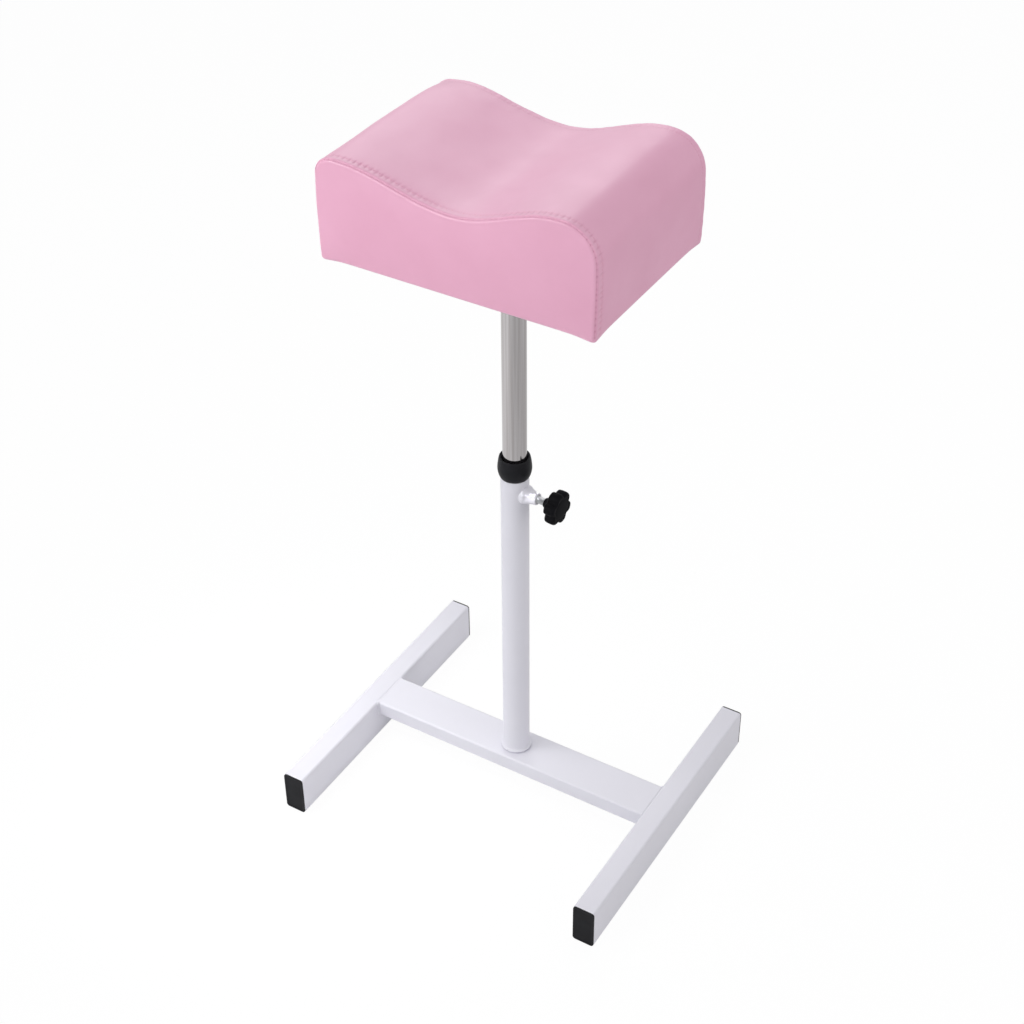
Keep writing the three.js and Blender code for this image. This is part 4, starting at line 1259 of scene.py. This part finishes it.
def make_dust_cover():
    """Thin cloth stretched below the board, with rounded corners and holes for the plate's screws."""
    low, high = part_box("dust_cover")
    middle = (low + high) / 2
    select_only(None)
    bpy.ops.mesh.primitive_grid_add(x_subdivisions=54, y_subdivisions=38, size=1, location=middle)
    cover = named(bpy.context.object, "dust_cover_cloth")
    cover.scale = (high.x - low.x, high.y - low.y, 1)
    settle(cover)
    for across, up in ((-1, -1), (-1, 1), (1, -1), (1, 1)):
        centre = Vector((across * (high.x - CLOTH_CORNER), up * (high.y - CLOTH_CORNER), middle.z))
        for degrees in (15, 30, 45, 60, 75):
            angle = math.radians(degrees)
            out = Vector((across * math.cos(angle), up * math.sin(angle), 0))
            pick_all(cover)
            bpy.ops.mesh.bisect(plane_co=centre + out * CLOTH_CORNER, plane_no=out, clear_outer=True)
    leave_edit()
    reshape(cover, lambda point: point + Vector((0, 0, CLOTH_SAG * noise.noise(point * 45))))
    apply_modifier(cover, "SOLIDIFY", thickness=CLOTH_THICKNESS, offset=0)
    for x, y in SCREW_PLACES:
        drill(cover, (x, y, middle.z / MM), CLOTH_HOLE / MM, 6)
    return smooth(cover, 40)


# Stage

def place_camera():
    """Stands the camera where the photo was taken from: turned round Z, raised, drawn back and rolled."""
    azimuth, elevation, roll = (math.radians(angle) for angle in (31.38, 37.59, -0.43))
    data = bpy.data.cameras.new("camera")
    data.lens = 66.118
    data.sensor_width = 36
    camera = linked("camera", data)
    aim_height, sidestep, distance = 0.3861, -0.00321, 1.963
    camera.matrix_world = (
        Matrix.Translation((0, 0, aim_height)) @ Matrix.Rotation(azimuth, 4, "Z")
        @ Matrix.Rotation(QUARTER_TURN - elevation, 4, "X") @ Matrix.Translation((sidestep, 0, distance))
        @ Matrix.Rotation(roll, 4, "Z"))
    bpy.context.scene.camera = camera


def start_tree(owner):
    """The owner's node tree, emptied."""
    owner.use_nodes = True
    owner.node_tree.nodes.clear()
    return owner.node_tree


def mix_shaders(tree, factor, first, second):
    inputs = {0: factor, 1: first.outputs[0], 2: second.outputs[0]}
    return add_node(tree, "ShaderNodeMixShader", inputs)


def build_world(strength):
    """Lights the object with a cool white; the camera, reflections and glass see plain white."""
    world = bpy.data.worlds.new("studio")
    bpy.context.scene.world = world
    tree = start_tree(world)
    light = add_node(tree, "ShaderNodeBackground", {"Color": (0.975, 0.985, 1, 1), "Strength": strength})
    white = add_node(tree, "ShaderNodeBackground", {"Color": (1, 1, 1, 1), "Strength": 1.0})
    path = add_node(tree, "ShaderNodeLightPath").outputs
    seen = calculate(tree, "MAXIMUM", path["Is Camera Ray"], path["Is Glossy Ray"])
    seen = calculate(tree, "MAXIMUM", seen, path["Is Transmission Ray"])
    add_node(tree, "ShaderNodeOutputWorld", {"Surface": mix_shaders(tree, seen, light, white).outputs[0]})


def build_floor():
    """A white floor that keeps a little of the object's shadow and is greyer towards +X in reflections."""
    select_only(None)
    bpy.ops.mesh.primitive_plane_add(size=30, location=(0, 0, -0.0002))
    floor = settle(named(bpy.context.object, "studio_floor"))
    material = bpy.data.materials.new("studio_floor")
    tree = start_tree(material)
    matt = add_node(tree, "ShaderNodeBsdfDiffuse", {"Color": (0.90, 0.90, 0.905, 1)})
    white = add_node(tree, "ShaderNodeEmission", {"Color": (1, 1, 1, 1), "Strength": 1.015})
    place = tree.nodes.new("ShaderNodeTexCoord").outputs["Object"]
    grey = add_node(tree, "ShaderNodeMapRange", {
        "Value": add_node(tree, "ShaderNodeSeparateXYZ", {"Vector": place}).outputs["X"],
        "From Min": -0.6, "From Max": 0.55, "To Min": 0.86, "To Max": 0.60}, interpolation_type="SMOOTHSTEP")
    mirrored = add_node(tree, "ShaderNodeEmission", {"Color": (1, 1, 1, 1), "Strength": grey.outputs[0]})
    path = add_node(tree, "ShaderNodeLightPath").outputs
    seen = calculate(tree, "MAXIMUM", path["Is Camera Ray"], path["Is Transmission Ray"])
    surface = mix_shaders(tree, seen, matt, mix_shaders(tree, 0.94, matt, white))
    surface = mix_shaders(tree, path["Is Glossy Ray"], surface, mirrored)
    add_node(tree, "ShaderNodeOutputMaterial", {"Surface": surface.outputs[0]})
    floor.data.materials.append(material)


def hang_light(name, place, aim, size, power, spread_angle=180, colour=(1, 1, 1)):
    """A square soft box that lights the object but isn't seen by the camera."""
    data = bpy.data.lights.new(name, "AREA")
    data.size = size
    data.energy = power
    data.spread = math.radians(spread_angle)
    data.color = colour
    light = linked(name, data)
    light.location = place
    light.rotation_euler = (Vector(aim) - Vector(place)).to_track_quat("-Z", "Y").to_euler()
    light.visible_camera = False


# The footrest

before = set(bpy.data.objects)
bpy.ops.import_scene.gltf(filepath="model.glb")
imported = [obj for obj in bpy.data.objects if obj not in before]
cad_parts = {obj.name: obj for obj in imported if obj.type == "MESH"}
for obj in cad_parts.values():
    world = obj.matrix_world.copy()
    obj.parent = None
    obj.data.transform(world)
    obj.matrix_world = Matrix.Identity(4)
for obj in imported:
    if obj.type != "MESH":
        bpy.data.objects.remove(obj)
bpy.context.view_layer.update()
place_camera()

white_coat = make_white_coat()
black_plastic = make_black_plastic("black_plastic", (0.011, 0.011, 0.013), (0.017, 0.017, 0.020), 0.10)
# The knob's copy of the black plastic: its darker base colour is painted shade, and it reflects less.
black_plastic_shaded_darker = make_black_plastic("black_plastic_shaded_darker", (0.007, 0.007, 0.008), (0.011, 0.011, 0.013), 0.02)
chrome = make_chrome()
zinc = make_zinc()
nylon = make_nylon()
leatherette = make_leatherette()
thread = make_thread()
dust_cloth = make_dust_cloth()
plywood = make_plywood()
foam_finish = make_foam()

kept_nodes = {
    zinc: ("foot_washer", "foot_spring_washer", "foot_screw", "post_foot_plug", "tnut_1", "tnut_2", "tnut_3",
           "tnut_4"),
    nylon: ("clamp_pad", "guide_ring"),
    black_plastic: ("mast_plug",),
    plywood: ("seat_board",),
}
for material, nodes in kept_nodes.items():
    for node in nodes:
        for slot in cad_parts[node].material_slots:
            slot.material = material

for side, sign in (("left", -1), ("right", 1)):
    rail = f"{side}_rail"
    finish_piece(smooth(make_square_tube(rail, 1), weighted=True), white_coat, "base", "white_coat", rail)
    finish_piece(make_weld_bead(f"{rail}_weld", sign), white_coat, "base", "white_coat")
    for end, into in (("front", 1), ("rear", -1)):
        cap = make_cap(f"{side}_{end}_end_cap", rail, into)
        finish_piece(cap, black_plastic, "base", "black_plastic", f"{side}_{end}_cap")
finish_piece(smooth(make_crossbar(), weighted=True), white_coat, "base", "white_coat", "crossbar")
finish_piece(make_post(), white_coat, "base", "white_coat", "post")
finish_piece(make_collar(), black_plastic, "base", "black_plastic", "collar")
finish_piece(make_boss(), white_coat, "base", "white_coat", "clamp_boss")
finish_piece(make_clamp_screw(), zinc, "clamp_knob", "zinc", "clamp_screw")
finish_piece(make_knob(), black_plastic_shaded_darker, "clamp_knob", "black_plastic", "clamp_knob")

finish_piece(make_mast(), chrome, "mast", "chrome", "mast")
finish_piece(make_mast_weld(), zinc, "mast", "zinc")
finish_piece(make_plate(), zinc, "mast", "zinc", "mounting_plate")
pattern_screw = make_plate_screw()
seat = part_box("mounting_plate")[0].z
for number, (x, y) in enumerate(SCREW_PLACES, 1):
    screw = copy_to(pattern_screw, f"plate_button_screw_{number}", Matrix.Translation((x * MM, y * MM, seat)))
    finish_piece(screw, zinc, "mast", "zinc", f"plate_screw_{number}")
bpy.data.objects.remove(pattern_screw)

cloth = finish_piece(make_dust_cover(), dust_cloth, "mast", "dust_cloth", "dust_cover")
foam, front, back, strip, surface = make_cushion()
stitch = make_stitch()
sewn_rows = []
for side, title, size in ((-1, "front", 1), (1, "back", 0.7)):
    sewn_rows.append(sew_row(f"{title}_top_stitches", side, surface, stitch, STITCH_ROW, size))
    sewn_rows.append(sew_row(f"{title}_seam_stitches", side, surface, stitch, 0, 0.55))
bpy.data.objects.remove(stitch)
for piece in (foam, front, back, strip, *sewn_rows):
    piece.data.transform(Matrix.Translation((0, CUSHION_SHIFT, 0)))
finish_piece(foam, foam_finish, "mast", "foam", "foam_core")
finish_piece(front, leatherette, "mast", "leatherette", "cover_front_panel")
finish_piece(back, leatherette, "mast", "leatherette", "cover_back_panel")
finish_piece(strip, leatherette, "mast", "leatherette", "cover_strip")
for row in sewn_rows:
    finish_piece(row, thread, "mast", "leatherette")

build_floor()
build_world(0.55)
hang_light("front_left", (-1.05, -1.6, 1.5), (-0.1, -0.1, 0.76), 1.6, 3.4, 75)
hang_light("cushion_front", (-1.05, -1.6, 0.98), (-0.12, -0.1, 0.76), 0.4, 0.155, 26)
hang_light("right_fill", (1.68, -0.2, 1.2), (0, 0, 0.5), 1.2, 4.6, colour=(1, 0.95, 0.93))
hang_light("back", (-0.80, 1.14, 1.73), (0, 0, 0.8), 0.95, 4.4)
hang_light("boss", (0.18, -0.26, 0.94), (0.024, -0.002, 0.417), 0.01, 0.0009, 3)
hang_light("left_rail", (-0.40, -0.27, 0.68), (-0.20, -0.13, 0.05), 0.3, 0.37, 70)
bpy.context.scene.view_settings.view_transform = "Standard"
